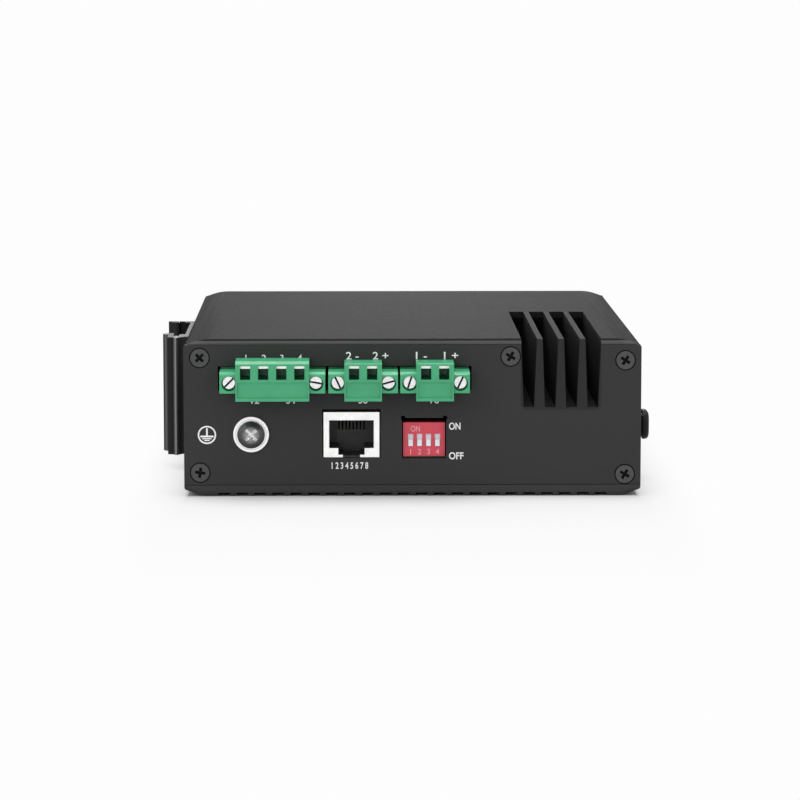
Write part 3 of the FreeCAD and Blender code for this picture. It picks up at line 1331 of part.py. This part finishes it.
def make_clip_spring():
    """A bowed strip on the floor of the near rail slot, which presses on the rail's edge."""
    body = new_body("clip_spring")
    side = sketch_on(body, "YZ_Plane", "0 - rail_slot_out - rail_slot / 2 - spring_width / 2")
    floor = "clip_near + near_slot_floor"
    middle = "(clip_low + clip_height / 2)"
    inner = [(f"{middle} - spring_length / 2", "0"),
             (f"{middle} - spring_length / 2 + spring_foot", "0"),
             (f"{middle} - spring_foot", "spring_bow"),
             (f"{middle} + spring_foot", "spring_bow"),
             (f"{middle} + spring_length / 2 - spring_foot", "0"),
             (f"{middle} + spring_length / 2", "0")]
    outline = [(f"{floor} + {rise}", up) for up, rise in inner]
    outline += [(f"{floor} + {rise} + spring_skin", up) for up, rise in reversed(inner)]
    polygon(side, outline)
    pad(body, side, "spring_width")


# The whole

def check_document():
    """Stop if any object failed or any sub-part has no sound shape."""
    for item in DOC.Objects:
        if "Invalid" in item.State or "Error" in item.State:
            raise RuntimeError(f"{item.Name} ({item.Label}) failed: {item.State}")
    for item in PARTS:
        if item.Shape.isNull() or not item.Shape.isValid() or not item.Shape.Solids:
            raise RuntimeError(f"{item.Label} has no sound solid")


def write_parts():
    os.makedirs("parts", exist_ok=True)
    for item in PARTS:
        item.Shape.exportStep(os.path.join("parts", item.Label + ".step"))


def main():
    fill_sheet()
    make_bottom_cover()
    make_top_cover()
    make_near_end_panel()
    make_far_end_panel()
    make_rail_wall()
    make_port_wall()
    make_heat_sink()
    make_end_screws("near_end_screws", near=True)
    make_end_screws("far_end_screws", near=False)
    make_standoffs()
    make_pillars()
    make_board_screws()
    make_earth_screw()
    make_boards()
    make_board_parts()
    make_terminals()
    make_console_socket()
    make_option_switch()
    make_fibre_slot()
    make_port_block()
    make_status_lights()
    make_rail_clip()
    make_clip_screws()
    make_clip_spring()
    DOC.recompute()
    check_document()
    write_parts()
    print(f"{len(PARTS)} sub-parts written")


main()
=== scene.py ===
import math

import bpy
from mathutils import Matrix, Vector


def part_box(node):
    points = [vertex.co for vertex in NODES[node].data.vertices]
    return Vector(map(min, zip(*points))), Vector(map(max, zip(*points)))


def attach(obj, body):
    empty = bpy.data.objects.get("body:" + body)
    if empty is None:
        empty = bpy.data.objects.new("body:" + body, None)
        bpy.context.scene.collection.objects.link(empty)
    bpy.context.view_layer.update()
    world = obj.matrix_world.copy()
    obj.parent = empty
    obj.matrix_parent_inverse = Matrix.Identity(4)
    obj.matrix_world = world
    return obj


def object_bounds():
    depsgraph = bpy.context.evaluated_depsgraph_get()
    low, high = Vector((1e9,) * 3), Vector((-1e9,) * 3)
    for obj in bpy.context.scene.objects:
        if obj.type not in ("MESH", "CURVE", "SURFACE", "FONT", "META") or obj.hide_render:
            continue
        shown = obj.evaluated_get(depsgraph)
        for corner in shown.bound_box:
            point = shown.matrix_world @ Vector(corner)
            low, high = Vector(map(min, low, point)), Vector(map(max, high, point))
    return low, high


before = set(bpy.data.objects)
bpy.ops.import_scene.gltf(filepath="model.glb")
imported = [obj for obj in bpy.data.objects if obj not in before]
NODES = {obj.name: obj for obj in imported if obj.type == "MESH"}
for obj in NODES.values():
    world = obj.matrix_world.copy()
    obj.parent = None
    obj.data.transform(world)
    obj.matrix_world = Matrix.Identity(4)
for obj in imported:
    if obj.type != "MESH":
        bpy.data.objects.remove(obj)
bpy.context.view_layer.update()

CASING = "casing"
MM = 0.001
LOW, HIGH = 0, 1
X, Y, Z = 0, 1, 2

# Scales of the noise in the materials. The larger, the finer the grain.
CLOUD = 28.0
FLOW = 160.0
MOTTLE = 700.0
STREAK = 900.0
SCRATCH = 1300.0
PEEL = 1500.0
SPECK = 2600.0
PITTING = 3200.0


# Materials

def grey(level):
    return (level, level, level)


def shade(colour, share):
    return tuple(min(1.0, channel * share) for channel in colour)


class Tree:
    """The node tree of a material or world, with short ways to add to it."""

    def __init__(self, owner):
        owner.use_nodes = True
        self.nodes = owner.node_tree.nodes
        self.links = owner.node_tree.links

    def maths(self, operation, first, second=None):
        """Work on one value, or on two, of which the second may be a plain number."""
        item = self.nodes.new("ShaderNodeMath")
        item.operation = operation
        self.links.new(first, item.inputs[0])
        if isinstance(second, float):
            item.inputs[1].default_value = second
        elif second:
            self.links.new(second, item.inputs[1])
        return item.outputs["Value"]

    def vector_maths(self, source, steps):
        """Take a vector through steps of an operation and its amount."""
        for operation, amount in steps:
            item = self.nodes.new("ShaderNodeVectorMath")
            item.operation = operation
            self.links.new(source, item.inputs[0])
            if amount:
                item.inputs[1].default_value = amount
            source = item.outputs["Value" if operation == "LENGTH" else "Vector"]
        return source

    def span(self, value, low, high, start=0.3, end=0.7):
        """Turn a value between start and end into one that runs from low to high."""
        item = self.nodes.new("ShaderNodeMapRange")
        item.inputs["From Min"].default_value = start
        item.inputs["From Max"].default_value = end
        item.inputs["To Min"].default_value = low
        item.inputs["To Max"].default_value = high
        self.links.new(value, item.inputs["Value"])
        return item.outputs["Result"]

    def rays(self, *kinds):
        """1 for light rays of any of these kinds, else 0."""
        path = self.nodes.new("ShaderNodeLightPath")
        share = path.outputs[kinds[0]]
        for kind in kinds[1:]:
            share = self.maths("MAXIMUM", share, path.outputs[kind])
        return share


class Shader(Tree):
    """A Principled material with helpers for procedural colour, roughness and bump."""

    def __init__(self, name, rough, metallic=0.0, specular=0.5):
        self.material = bpy.data.materials.new(name)
        super().__init__(self.material)
        self.main = self.nodes["Principled BSDF"]
        self.main.inputs["Roughness"].default_value = rough
        self.main.inputs["Metallic"].default_value = metallic
        self.main.inputs["Specular IOR Level"].default_value = specular
        self.place = self.nodes.new("ShaderNodeTexCoord").outputs["Object"]

    def stretched(self, scales):
        """The object's own place, stretched along its axes."""
        mapping = self.nodes.new("ShaderNodeMapping")
        mapping.inputs["Scale"].default_value = scales
        self.links.new(self.place, mapping.inputs["Vector"])
        return mapping.outputs["Vector"]

    def noise(self, scale, detail=3.0, place=None):
        item = self.nodes.new("ShaderNodeTexNoise")
        item.inputs["Scale"].default_value = scale
        item.inputs["Detail"].default_value = detail
        item.inputs["Roughness"].default_value = 0.6
        self.links.new(place or self.place, item.inputs["Vector"])
        return item.outputs["Fac"]

    def mix(self, share, first, second):
        """Blend two colours, each of them a plain one or an output."""
        item = self.nodes.new("ShaderNodeMix")
        item.data_type = "RGBA"
        factor, colours, blended = item.inputs[0], item.inputs[6:8], item.outputs[2]
        for socket, colour in zip(colours, (first, second)):
            if isinstance(colour, tuple):
                socket.default_value = (*colour, 1.0)
            else:
                self.links.new(colour, socket)
        self.links.new(share, factor)
        return blended

    def mottled(self, grain, colour, low, high):
        """A colour that wanders between two shares of itself."""
        return self.mix(self.span(grain, 0.0, 1.0), shade(colour, low), shade(colour, high))

    def along(self, vector, axis):
        """One part of a vector."""
        parts = self.nodes.new("ShaderNodeSeparateXYZ")
        self.links.new(vector, parts.inputs["Vector"])
        return parts.outputs[axis]

    def beyond(self, axis, level, margin=0.00003):
        """1 where the object's own place passes a level along an axis, else 0."""
        return self.span(self.along(self.place, axis), 0.0, 1.0, level - margin, level + margin)

    def facing(self, axis):
        """How squarely the surface faces along an axis, either way, from 0 to 1."""
        normal = self.nodes.new("ShaderNodeTexCoord").outputs["Normal"]
        return self.maths("ABSOLUTE", self.along(normal, axis))

    def ramp(self, share, stops):
        """Grey that runs through stops of place (0 to 1) and level."""
        item = self.nodes.new("ShaderNodeValToRGB")
        self.links.new(share, item.inputs["Fac"])
        given = item.color_ramp.elements
        for step, (place, level) in enumerate(stops):
            stop = given[step] if step < 2 else given.new(1.0)
            stop.position = place
            stop.color = (*grey(level), 1.0)
        return item.outputs["Color"]

    def colour(self, source):
        self.links.new(source, self.main.inputs["Base Color"])

    def roughness(self, grain, low, high):
        self.links.new(self.span(grain, low, high), self.main.inputs["Roughness"])

    def bump(self, height, distance, strength):
        item = self.nodes.new("ShaderNodeBump")
        item.inputs["Distance"].default_value = distance
        item.inputs["Strength"].default_value = strength
        self.links.new(height, item.inputs["Height"])
        self.links.new(item.outputs["Normal"], self.main.inputs["Normal"])


def powder_coat(name, colour, rough, grain=1.0, specular=0.25, highlight_strip=None):
    """Baked powder paint: a fine orange-peel grain with faint cloudiness. A strip given as a
    depth and a
    height gets a painted highlight: the paint is lighter where it is nearer and lower than those."""
    paint = Shader(name, rough, specular=specular)
    base = paint.mottled(paint.noise(CLOUD, 2.0), colour, 0.95, 1.05)
    specks = paint.span(paint.noise(SPECK, 2.0), 0.0, 0.35, 0.45, 0.8)
    coat = paint.mix(specks, base, shade(colour, 1.4))
    if highlight_strip:
        depth, height = highlight_strip
        # Painted highlight: six times lighter paint on the strip, standing in for the light its
        # bend catches.
        near = paint.mix(paint.beyond("Z", height), shade(colour, 6.0), coat)
        coat = paint.mix(paint.beyond("Y", depth), near, coat)
    paint.colour(coat)
    paint.roughness(paint.noise(STREAK), rough - 0.04, rough + 0.05)
    paint.bump(paint.noise(PEEL, 2.0), 0.000014 * grain, 0.5)
    return paint.material


def plastic(name, colour, rough, grain=0.6, specular=0.5):
    """Moulded plastic with a faint texture and slightly uneven colour."""
    item = Shader(name, rough, specular=specular)
    item.colour(item.mottled(item.noise(FLOW), colour, 0.92, 1.08))
    item.roughness(item.noise(MOTTLE), rough - 0.06, rough + 0.08)
    item.bump(item.noise(PITTING, 2.0), 0.000012 * grain, 0.5)
    return item.material


def metal(name, colour, rough, scales=(1.0, 1.0, 1.0), strength=0.35):
    """Plated or bare metal with drawn or rolled streaks."""
    item = Shader(name, rough, metallic=1.0)
    streaks = item.noise(STREAK, place=item.stretched(scales))
    item.colour(item.mottled(streaks, colour, 0.9, 1.05))
    item.roughness(streaks, rough - 0.06, rough + 0.1)
    item.bump(streaks, 0.00001, strength)
    return item.material


def split_metal(name, shown, tone_past_level, rough, axis, level):
    """Metal whose colour changes where it passes a level along an axis, in row-frame metres, so
    that one side carries painted shade.
    """
    item = Shader(name, rough, metallic=1.0)
    streaks = item.noise(STREAK)
    base = item.mottled(streaks, shown, 0.92, 1.05)
    item.colour(item.mix(item.beyond(axis, level), base, tone_past_level))
    item.roughness(streaks, rough - 0.05, rough + 0.1)
    item.bump(streaks, 0.00001, 0.3)
    return item.material


def radially_shaded_metal(name, node, stops, rough, recess=None):
    """Metal carrying painted reflection and shade: its tone runs through stops of level by
    distance, in millimetres, from the node's axis along Y. Deeper than its recess it carries
    painted glints, patchy between mid grey and near white."""
    item = Shader(name, rough, metallic=1.0)
    low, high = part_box(node)
    radius = item.vector_maths(item.place, (("SUBTRACT", (low + high) / 2),
                                            ("MULTIPLY", (1.0, 0.0, 1.0)), ("LENGTH", None)))
    widest = stops[-1][0]
    ramp = item.ramp(item.span(radius, 0.0, 1.0, 0.0, widest * MM),
                     [(place / widest, level) for place, level in stops])
    grain = item.noise(STREAK)
    tone = item.mix(item.span(grain, 0.0, 0.12), ramp, grey(0.4))
    if recess:
        # Painted glints inside the recess.
        painted_recess_glints = item.mix(item.span(item.noise(SCRATCH), 0.0, 1.0), grey(0.3), grey(0.95))
        tone = item.mix(item.beyond("Y", low[Y] + recess), tone, painted_recess_glints)
    item.colour(tone)
    item.roughness(grain, rough - 0.04, rough + 0.08)
    return item.material


def black_screw(name):
    """Blackened steel, with painted shade inside the driver's cross."""
    item = Shader(name, 0.4, specular=0.1)
    streaks = item.noise(STREAK)
    base = item.mix(item.span(streaks, 0.0, 1.0), (0.068, 0.068, 0.069), (0.082, 0.082, 0.083))
    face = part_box("near_end_screws")[LOW][Y]
    # Painted shade: nearly black deeper than the head's face, inside the cross.
    item.colour(item.mix(item.beyond("Y", face + 0.00015), base, grey(0.002)))
    item.roughness(streaks, 0.34, 0.48)
    item.bump(streaks, 0.00001, 0.4)
    return item.material


def ribbed_coat(name, colour):
    """Powder paint with painted shade down in the cooling slots: nearly black deeper than 1.6 mm
    behind the front and below the top, and on the slot sides.
    """
    paint = Shader(name, 0.8, specular=0.06)
    specks = paint.span(paint.noise(SPECK, 2.0), 0.0, 0.35, 0.45, 0.8)
    base = paint.mix(specks, colour, shade(colour, 1.5))
    low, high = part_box("heat_sink")
    unshaded_depth, margin = 0.0016, 0.0004
    # Painted shade in the slots, and on their sides below.
    painted_slot_shade = paint.mix(paint.beyond("Y", low[Y] + unshaded_depth, margin), base, grey(0.004))
    coat = paint.mix(paint.beyond("Z", high[Z] - unshaded_depth, margin), painted_slot_shade, base)
    slot_side_shade = paint.span(paint.facing("X"), 0.0, 1.0, 0.85, 0.95)
    paint.colour(paint.mix(slot_side_shade, coat, grey(0.003)))
    paint.roughness(paint.noise(STREAK), 0.76, 0.86)
    paint.bump(paint.noise(PEEL, 2.0), 0.00002, 0.55)
    return paint.material


def clip_coat(name):
    """Black extrusion whose near hook carries painted light: lighter bands along each ridge stand
    in for highlights, and its inner side is painted lighter too. Past the hook it is plain black.
    The stops are of level by distance, in millimetres, from the clip's outer side."""
    coat = Shader(name, 0.3, specular=0.15)
    low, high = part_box("rail_clip")
    width = high[X] - low[X]
    # Painted light: bright stops at each ridge as highlights, and a lighter inner side.
    stops = ((0.5, 0.01), (1.0, 0.12), (1.5, 0.02), (3.7, 0.005), (4.5, 0.24), (5.3, 0.05),
             (9.4, 0.07))
    across = coat.span(coat.along(coat.place, "X"), 0.0, 1.0, low[X], high[X])
    painted_ridge_light = coat.ramp(across, [(place * MM / width, level) for place, level in stops])
    past_hook = coat.beyond("Y", low[Y] + 0.0125)
    coat.colour(coat.mix(past_hook, painted_ridge_light, grey(0.006)))
    coat.roughness(coat.noise(STREAK), 0.26, 0.36)
    coat.bump(coat.noise(PEEL, 2.0), 0.000005, 0.5)
    return coat.material


def circuit_board(name):
    """Green solder mask over a grid of tracks."""
    item = Shader(name, 0.35)
    track = item.nodes.new("ShaderNodeTexBrick")
    track.inputs["Scale"].default_value = 260.0
    track.inputs["Mortar Size"].default_value = 0.012
    track.inputs["Color1"].default_value = (0.012, 0.11, 0.05, 1.0)
    track.inputs["Color2"].default_value = (0.016, 0.13, 0.06, 1.0)
    track.inputs["Mortar"].default_value = (0.03, 0.24, 0.1, 1.0)
    item.links.new(item.place, track.inputs["Vector"])
    item.colour(track.outputs["Color"])
    item.bump(track.outputs["Fac"], 0.00003, 0.6)
    return item.material


# The strip of the top cover that laps over the near end panel, as a depth and a height, where its
# front bend gets a painted highlight.
COVER_HIGHLIGHT_STRIP = (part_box("top_cover")[LOW][Y] + 0.0012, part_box("near_end_panel")[HIGH][Z] + 0.0011)
# Where the slots of the flange screws begin, and where the lips of the wire clamps do. Deeper
# than the first the screws carry painted shade, and below the second the clamps carry dark green
# painted shade.
SLOT_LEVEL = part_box("plug_flange_screws")[LOW][Y] + 0.0002
CLAMP_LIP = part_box("wire_clamps")[HIGH][Z] - 0.0009
# Painted light on the earth screw: the head runs from a painted glow at its middle to dark at its
# rim, and the washer has a painted shadow ring next to the head and painted bright rings beyond.
EARTH_HEAD_PAINTED_LIGHT = ((0.0, 0.34), (1.2, 0.28), (1.9, 0.16), (2.6, 0.08), (3.7, 0.045))
EARTH_WASHER_PAINTED_LIGHT = ((3.7, 0.05), (3.85, 0.45), (4.1, 0.9), (4.3, 0.5), (4.55, 0.9), (5.05, 0.8))

MATERIALS = {
    "cover": powder_coat("cover_coat", grey(0.0135), 0.78, specular=0.06, highlight_strip=COVER_HIGHLIGHT_STRIP),
    # The base is the panel's paint made lighter, a painted lift of light for its downward-turned
    # near bend.
    "base": powder_coat("base_coat", grey(0.03), 0.55),
    "panel": powder_coat("panel_coat", grey(0.024), 0.55),
    "sink": ribbed_coat("sink_coat", grey(0.03)),
    "clip": clip_coat("clip_coat"),
    "black_steel": powder_coat("black_steel", (0.028, 0.028, 0.029), 0.35, 0.4, 0.4),
    "end_screw": black_screw("end_screw"),
    # Painted shade: nearly black in the flange screws' slots, and dark green on the wire clamps
    # below their lips.
    "flange_screw": split_metal("flange_screw", grey(0.8), grey(0.02), 0.26, "Y", SLOT_LEVEL),
    "clamp": split_metal("wire_clamp", (0.01, 0.05, 0.025), grey(0.85), 0.3, "Z", CLAMP_LIP),
    "earth_head": radially_shaded_metal("earth_head", "earth_screw", EARTH_HEAD_PAINTED_LIGHT, 0.36, 0.00115),
    "washer": radially_shaded_metal("earth_washer", "earth_washer", EARTH_WASHER_PAINTED_LIGHT, 0.3),
    # Painted shade: the console contacts are a darkened brass, for the shade deep in the socket.
    "shaded_brass": metal("shaded_brass", (0.05, 0.045, 0.035), 0.35),
    "bright_steel": metal("bright_steel", (0.75, 0.76, 0.76), 0.26),
    "spring_steel": metal("spring_steel", (0.5, 0.5, 0.48), 0.3, (1.0, 0.1, 1.0)),
    "shield": metal("shield_steel", (0.9, 0.9, 0.89), 0.34, (0.4, 0.4, 0.4), 0.06),
    "brass": metal("contact_plate", (0.85, 0.72, 0.42), 0.28, (0.3, 4.0, 0.3)),
    "green": plastic("green_plastic", (0.045, 0.345, 0.16), 0.36),
    "red": plastic("red_plastic", (0.62, 0.052, 0.085), 0.34),
    "white": plastic("white_plastic", (0.82, 0.82, 0.88), 0.4),
    "black_plastic": plastic("black_plastic", (0.016, 0.016, 0.017), 0.42),
    "rubber": plastic("dust_rubber", grey(0.006), 0.5, 1.0, 0.2),
    "pipe": plastic("light_pipe", (0.6, 0.68, 0.6), 0.2),
    "board": circuit_board("circuit_board"),
    "chip": plastic("chip_plastic", (0.02, 0.02, 0.021), 0.5, 1.5),
    "pad": plastic("thermal_pad", (0.3, 0.36, 0.45), 0.7, 2.0),
    "aluminium": metal("bare_aluminium", (0.7, 0.71, 0.71), 0.35, (0.3, 0.3, 3.0)),
    "print": plastic("white_print", grey(0.86), 0.5, 0.3),
    "pink": plastic("pink_print", (0.86, 0.42, 0.46), 0.5, 0.3),
}

# The nodes that wear each material.
FINISH = {
    "cover": ["top_cover"],
    "base": ["bottom_cover"],
    "panel": ["near_end_panel", "far_end_panel", "rail_wall", "port_wall"],
    "sink": ["heat_sink"],
    "clip": ["rail_clip"],
    "black_steel": ["far_end_screws", "clip_screws"],
    "end_screw": ["near_end_screws"],
    "earth_head": ["earth_screw"],
    "flange_screw": ["plug_flange_screws"],
    "clamp": ["wire_clamps"],
    "shaded_brass": ["console_contacts"],
    "washer": ["earth_washer"],
    "bright_steel": ["earth_nut", "clamp_screws", "main_board_screws",
                     "power_board_screws", "board_standoffs", "power_board_pillars"],
    "spring_steel": ["clip_spring"],
    "shield": ["console_shield", "port_shield", "fibre_cage"],
    "brass": ["header_pins", "port_contacts"],
    "green": ["signal_plug", "signal_header", "power_one_plug", "power_one_header",
              "power_two_plug", "power_two_header"],
    "red": ["option_switch"],
    "white": ["option_lever_1", "option_lever_2", "option_lever_3", "option_lever_4"],
    "black_plastic": ["console_insert", "port_insert"],
    "rubber": ["dust_plug"],
    "pipe": ["status_lights"],
    "board": ["main_board", "power_board"],
    "chip": ["switch_chip", "port_transformers", "power_coil", "board_link"],
    "pad": ["thermal_pad"],
    "aluminium": ["heat_bridge", "capacitors"],
}

# The nodes whose edges are broken, with the width of the break in metres.
SOFT_EDGES = {
    "top_cover": 0.00012,
    "near_end_panel": 0.00006,
    "far_end_panel": 0.00012,
    "heat_sink": 0.00012,
    "rail_clip": 0.00012,
    "signal_plug": 0.00016,
    "power_one_plug": 0.00016,
    "power_two_plug": 0.00016,
}


def dress_nodes():
    for finish, names in FINISH.items():
        for name in names:
            slots = NODES[name].data.materials
            slots.clear()
            slots.append(MATERIALS[finish])


def soften_edges():
    """Break the sharp edges of some nodes, so that they catch the light."""
    for name, width in SOFT_EDGES.items():
        weld = NODES[name].modifiers.new("Weld", "WELD")
        weld.merge_threshold = 0.000002
        bevel = NODES[name].modifiers.new("Edges", "BEVEL")
        bevel.width = width
        bevel.segments = 2
        bevel.limit_method = "ANGLE"
        bevel.angle_limit = math.radians(40.0)
        bevel.harden_normals = False
        bevel.use_clamp_overlap = True


# Printed marks, in millimetres. A place is an x from the rail side and a z from the base.

PRINT_PROUD = 0.03
PRINT_THICK = 0.03
SMALL_WEIGHT = 0.012
LARGE_WEIGHT = 0.02
POLE_PITCH = 5.08
LEVER_PITCH = 2.54
SIGNAL_MIDDLE = 25.37
POWER_TWO_MIDDLE = 50.9
POWER_ONE_MIDDLE = 71.15
FIRST_LEVER = 64.44
SWITCH_SET_BACK = 1.2
EARTH_MARK = (6.54, 17.7)


def front(place, proud):
    """Matrix that stands flat artwork up in front of the near end panel, facing the viewer."""
    low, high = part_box("near_end_panel")
    x, z = place
    where = Vector((low[X] + x * MM, low[Y] - proud * MM, z * MM))
    return Matrix.Translation(where) @ Matrix.Rotation(math.radians(90.0), 4, "X")


def finish_piece(mesh, name, material, place, proud):
    piece = bpy.data.objects.new(name, mesh)
    bpy.context.scene.collection.objects.link(piece)
    piece.matrix_world = front(place, proud)
    mesh.materials.clear()
    mesh.materials.append(MATERIALS[material])
    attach(piece, CASING)


def words(text, name, place, height, width=None, weight=SMALL_WEIGHT, material="print",
          proud=PRINT_PROUD):
    """Print a short line. Its place is the middle of its foot."""
    curve = bpy.data.curves.new(name + "_curve", "FONT")
    curve.body = text
    curve.align_x = "CENTER"
    curve.size = 1.0
    curve.extrude = 0.01
    curve.offset = weight
    holder = bpy.data.objects.new(name + "_curve", curve)
    bpy.context.scene.collection.objects.link(holder)
    bpy.context.view_layer.update()
    shown = holder.evaluated_get(bpy.context.evaluated_depsgraph_get())
    mesh = bpy.data.meshes.new_from_object(shown)
    bpy.data.objects.remove(holder)
    low = [min(vertex.co[axis] for vertex in mesh.vertices) for axis in (X, Y)]
    high = [max(vertex.co[axis] for vertex in mesh.vertices) for axis in (X, Y)]
    up = height * MM / (high[Y] - low[Y])
    across = width * MM / (high[X] - low[X]) if width else up
    for vertex in mesh.vertices:
        vertex.co.x = (vertex.co.x - (low[X] + high[X]) / 2) * across
        vertex.co.y = (vertex.co.y - low[Y]) * up
        vertex.co.z *= up * 0.4
    finish_piece(mesh, name, material, place, proud)


def flat_shape(name, outlines, place):
    """Print a shape made of outlines about its place, each of them a polygon that runs
    anticlockwise and is filled."""
    corners, faces = [], []
    for outline in outlines:
        sides = range(len(outline))
        foot = len(corners)
        top = foot + len(outline)
        for height in (0.0, PRINT_THICK * MM):
            corners += [(across * MM, up * MM, height) for across, up in outline]
        faces.append([foot + side for side in reversed(sides)])
        faces.append([top + side for side in sides])
        for side in sides:
            following = (side + 1) % len(outline)
            faces.append([foot + side, foot + following, top + following, top + side])
    mesh = bpy.data.meshes.new(name)
    mesh.from_pydata(corners, [], faces)
    finish_piece(mesh, name, "print", place, PRINT_PROUD)


def bar(left, low, width, height):
    return [(left, low), (left + width, low), (left + width, low + height), (left, low + height)]


def ring(radius, line, steps=72):
    """Quads of a ring about the origin."""
    quads = []
    for step in range(steps):
        first, second = (math.radians(360.0 * (step + extra) / steps) for extra in (0, 1))
        inner, outer = radius - line / 2, radius + line / 2
        quads.append([(inner * math.cos(first), inner * math.sin(first)),
                      (outer * math.cos(first), outer * math.sin(first)),
                      (outer * math.cos(second), outer * math.sin(second)),
                      (inner * math.cos(second), inner * math.sin(second))])
    return quads


def print_marks():
    """Generic marks only: earth symbol, contact numbers, polarity and switch positions."""
    flat_shape("earth_ring", ring(2.4, 0.42), EARTH_MARK)
    flat_shape("earth_bars", [bar(-0.25, -0.2, 0.5, 2.1), bar(-1.85, -0.7, 3.7, 0.5),
                              bar(-1.3, -1.25, 2.6, 0.33), bar(-0.75, -1.75, 1.5, 0.3)],
               EARTH_MARK)
    words("1 2 3 4 5 6 7 8", "console_numbers", (47.15, 7.85), 1.95, 10.4, weight=0.018)
    words("ON", "on_mark", (76.97, 19.05), 2.05, 3.27, LARGE_WEIGHT)
    words("OFF", "off_mark", (77.42, 10.55), 2.05, 4.15, LARGE_WEIGHT)
    for x, number in ((52.1, "2"), (71.9, "1")):
        words(f"{number} -    {number} +", f"polarity_{number}", (x, 39.2), 2.15, 12.0)
    for step in range(4):
        x = SIGNAL_MIDDLE + (step - 1.5) * POLE_PITCH
        words(str(step + 1), f"signal_number_{step + 1}", (x, 38.7), 1.9)
    for x, text in ((20.3, "12"), (30.4, "34"), (POWER_TWO_MIDDLE, "56"),
                    (POWER_ONE_MIDDLE, "78")):
        words(text, f"pole_numbers_{text}", (x, 26.6), 2.0)

    on_switch = {"weight": 0.0, "material": "pink", "proud": 0.02 - SWITCH_SET_BACK}
    words("ON", "switch_on", (65.8, 18.4), 1.6, 2.6, **on_switch)
    for step in range(4):
        x = FIRST_LEVER + LEVER_PITCH * step
        words(str(step + 1), f"switch_number_{step + 1}", (x, 11.85), 1.55, **on_switch)


# Stage

FLOOR_SIZE = 14.0
FLOOR_MIDDLE = (0.0, 3.0, 0.0)
FLOOR_BELOW = 0.00005
PAPER_GREY = 0.66
WHITE = 0.985
DAYLIGHT = 0.55
# The floor keeps its shading inside this half size about the origin. Beyond it the floor fades
# to plain white over the reach, sooner to the sides than to the front.
SHADED = (0.064, 0.0725, 0.0)
FADE_HASTE = (9.0, 1.0, 1.0)
FADE_REACH = 0.16
FADE_POWER = 0.3

# Name, place, aim, size and power of each lamp.
LAMPS = (
    ("overhead", (0.0, 0.0, 1.3), (0.0, 0.0, 0.0), (0.7, 0.7), 12.0),
    ("back_glow", (0.02, 1.0, 0.3), (0.01, 0.07, 0.045), (0.12, 0.2), 1.6),
    ("front_left", (-0.9, -1.2, 0.7), (0.0, 0.0, 0.02), (0.9, 0.9), 6.0),
    ("front_right", (1.0, -1.1, 0.5), (0.0, 0.0, 0.02), (0.8, 0.8), 3.0),
    ("strip_front", (-0.25, -1.3, 0.2), (-0.07, -0.05, 0.02), (0.05, 0.6), 0.8),
)


def place_item(name, data, place, aim):
    """Stand a lamp or camera at a place, turned towards its aim."""
    item = bpy.data.objects.new(name, data)
    bpy.context.scene.collection.objects.link(item)
    item.location = place
    item.rotation_euler = (Vector(aim) - Vector(place)).to_track_quat("-Z", "Y").to_euler()
    return item


def make_world():
    """Plain white daylight, which shows brighter to the camera and in metal and glass."""
    world = bpy.data.worlds.new("studio")
    bpy.context.scene.world = world
    tree = Tree(world)
    sky = tree.nodes["Background"]
    sky.inputs["Color"].default_value = (1.0, 1.0, 1.0, 1.0)
    shown = tree.rays("Is Camera Ray", "Is Transmission Ray", "Is Glossy Ray")
    tree.links.new(tree.span(shown, DAYLIGHT, WHITE, 0.0, 1.0), sky.inputs["Strength"])


def make_floor():
    """White paper that takes the object's shadow and fades into the background."""
    bpy.ops.mesh.primitive_grid_add(x_subdivisions=8, y_subdivisions=8, size=FLOOR_SIZE,
                                    location=FLOOR_MIDDLE)
    floor = bpy.context.object
    floor.name = "floor"
    floor.location.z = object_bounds()[LOW][Z] - FLOOR_BELOW
    ground = Shader("floor_paper", 0.9, specular=0.0)
    ground.main.inputs["Base Color"].default_value = (*grey(PAPER_GREY), 1.0)
    to_origin = (-FLOOR_MIDDLE[X], -FLOOR_MIDDLE[Y], 0.0)
    reach = ground.vector_maths(ground.place, (("SUBTRACT", to_origin), ("ABSOLUTE", None),
                                               ("SUBTRACT", SHADED), ("MAXIMUM", grey(0.0)),
                                               ("MULTIPLY", FADE_HASTE), ("LENGTH", None)))
    fade = ground.maths("POWER", ground.span(reach, 0.0, 1.0, 0.0, FADE_REACH), FADE_POWER)
    share = ground.maths("MULTIPLY", fade, ground.rays("Is Camera Ray", "Is Glossy Ray"))
    white = ground.nodes.new("ShaderNodeEmission")
    white.inputs["Strength"].default_value = WHITE
    blend = ground.nodes.new("ShaderNodeMixShader")
    ground.links.new(share, blend.inputs["Fac"])
    ground.links.new(ground.main.outputs["BSDF"], blend.inputs[1])
    ground.links.new(white.outputs["Emission"], blend.inputs[2])
    surface = ground.nodes["Material Output"].inputs["Surface"]
    ground.links.new(blend.outputs["Shader"], surface)
    floor.data.materials.append(ground.material)


def make_lamps():
    for name, place, aim, size, power in LAMPS:
        light = bpy.data.lights.new(name, "AREA")
        light.shape = "RECTANGLE"
        light.size, light.size_y = size
        light.energy = power
        place_item(name, light, place, aim)


def make_camera():
    """The product view: a long lens, slightly above and to the left of the terminal end."""
    camera = bpy.data.cameras.new("view")
    camera.lens = 153.8
    camera.sensor_width = 36.0
    camera.clip_start = 0.01
    camera.clip_end = 50.0
    bpy.context.scene.camera = place_item("view", camera, (-0.0179, -1.03675, 0.1487),
                                          (-0.0036, -0.07375, 0.0276))


bpy.context.scene.view_settings.view_transform = "Standard"
make_camera()
dress_nodes()
soften_edges()
print_marks()
make_world()
make_floor()
make_lamps()
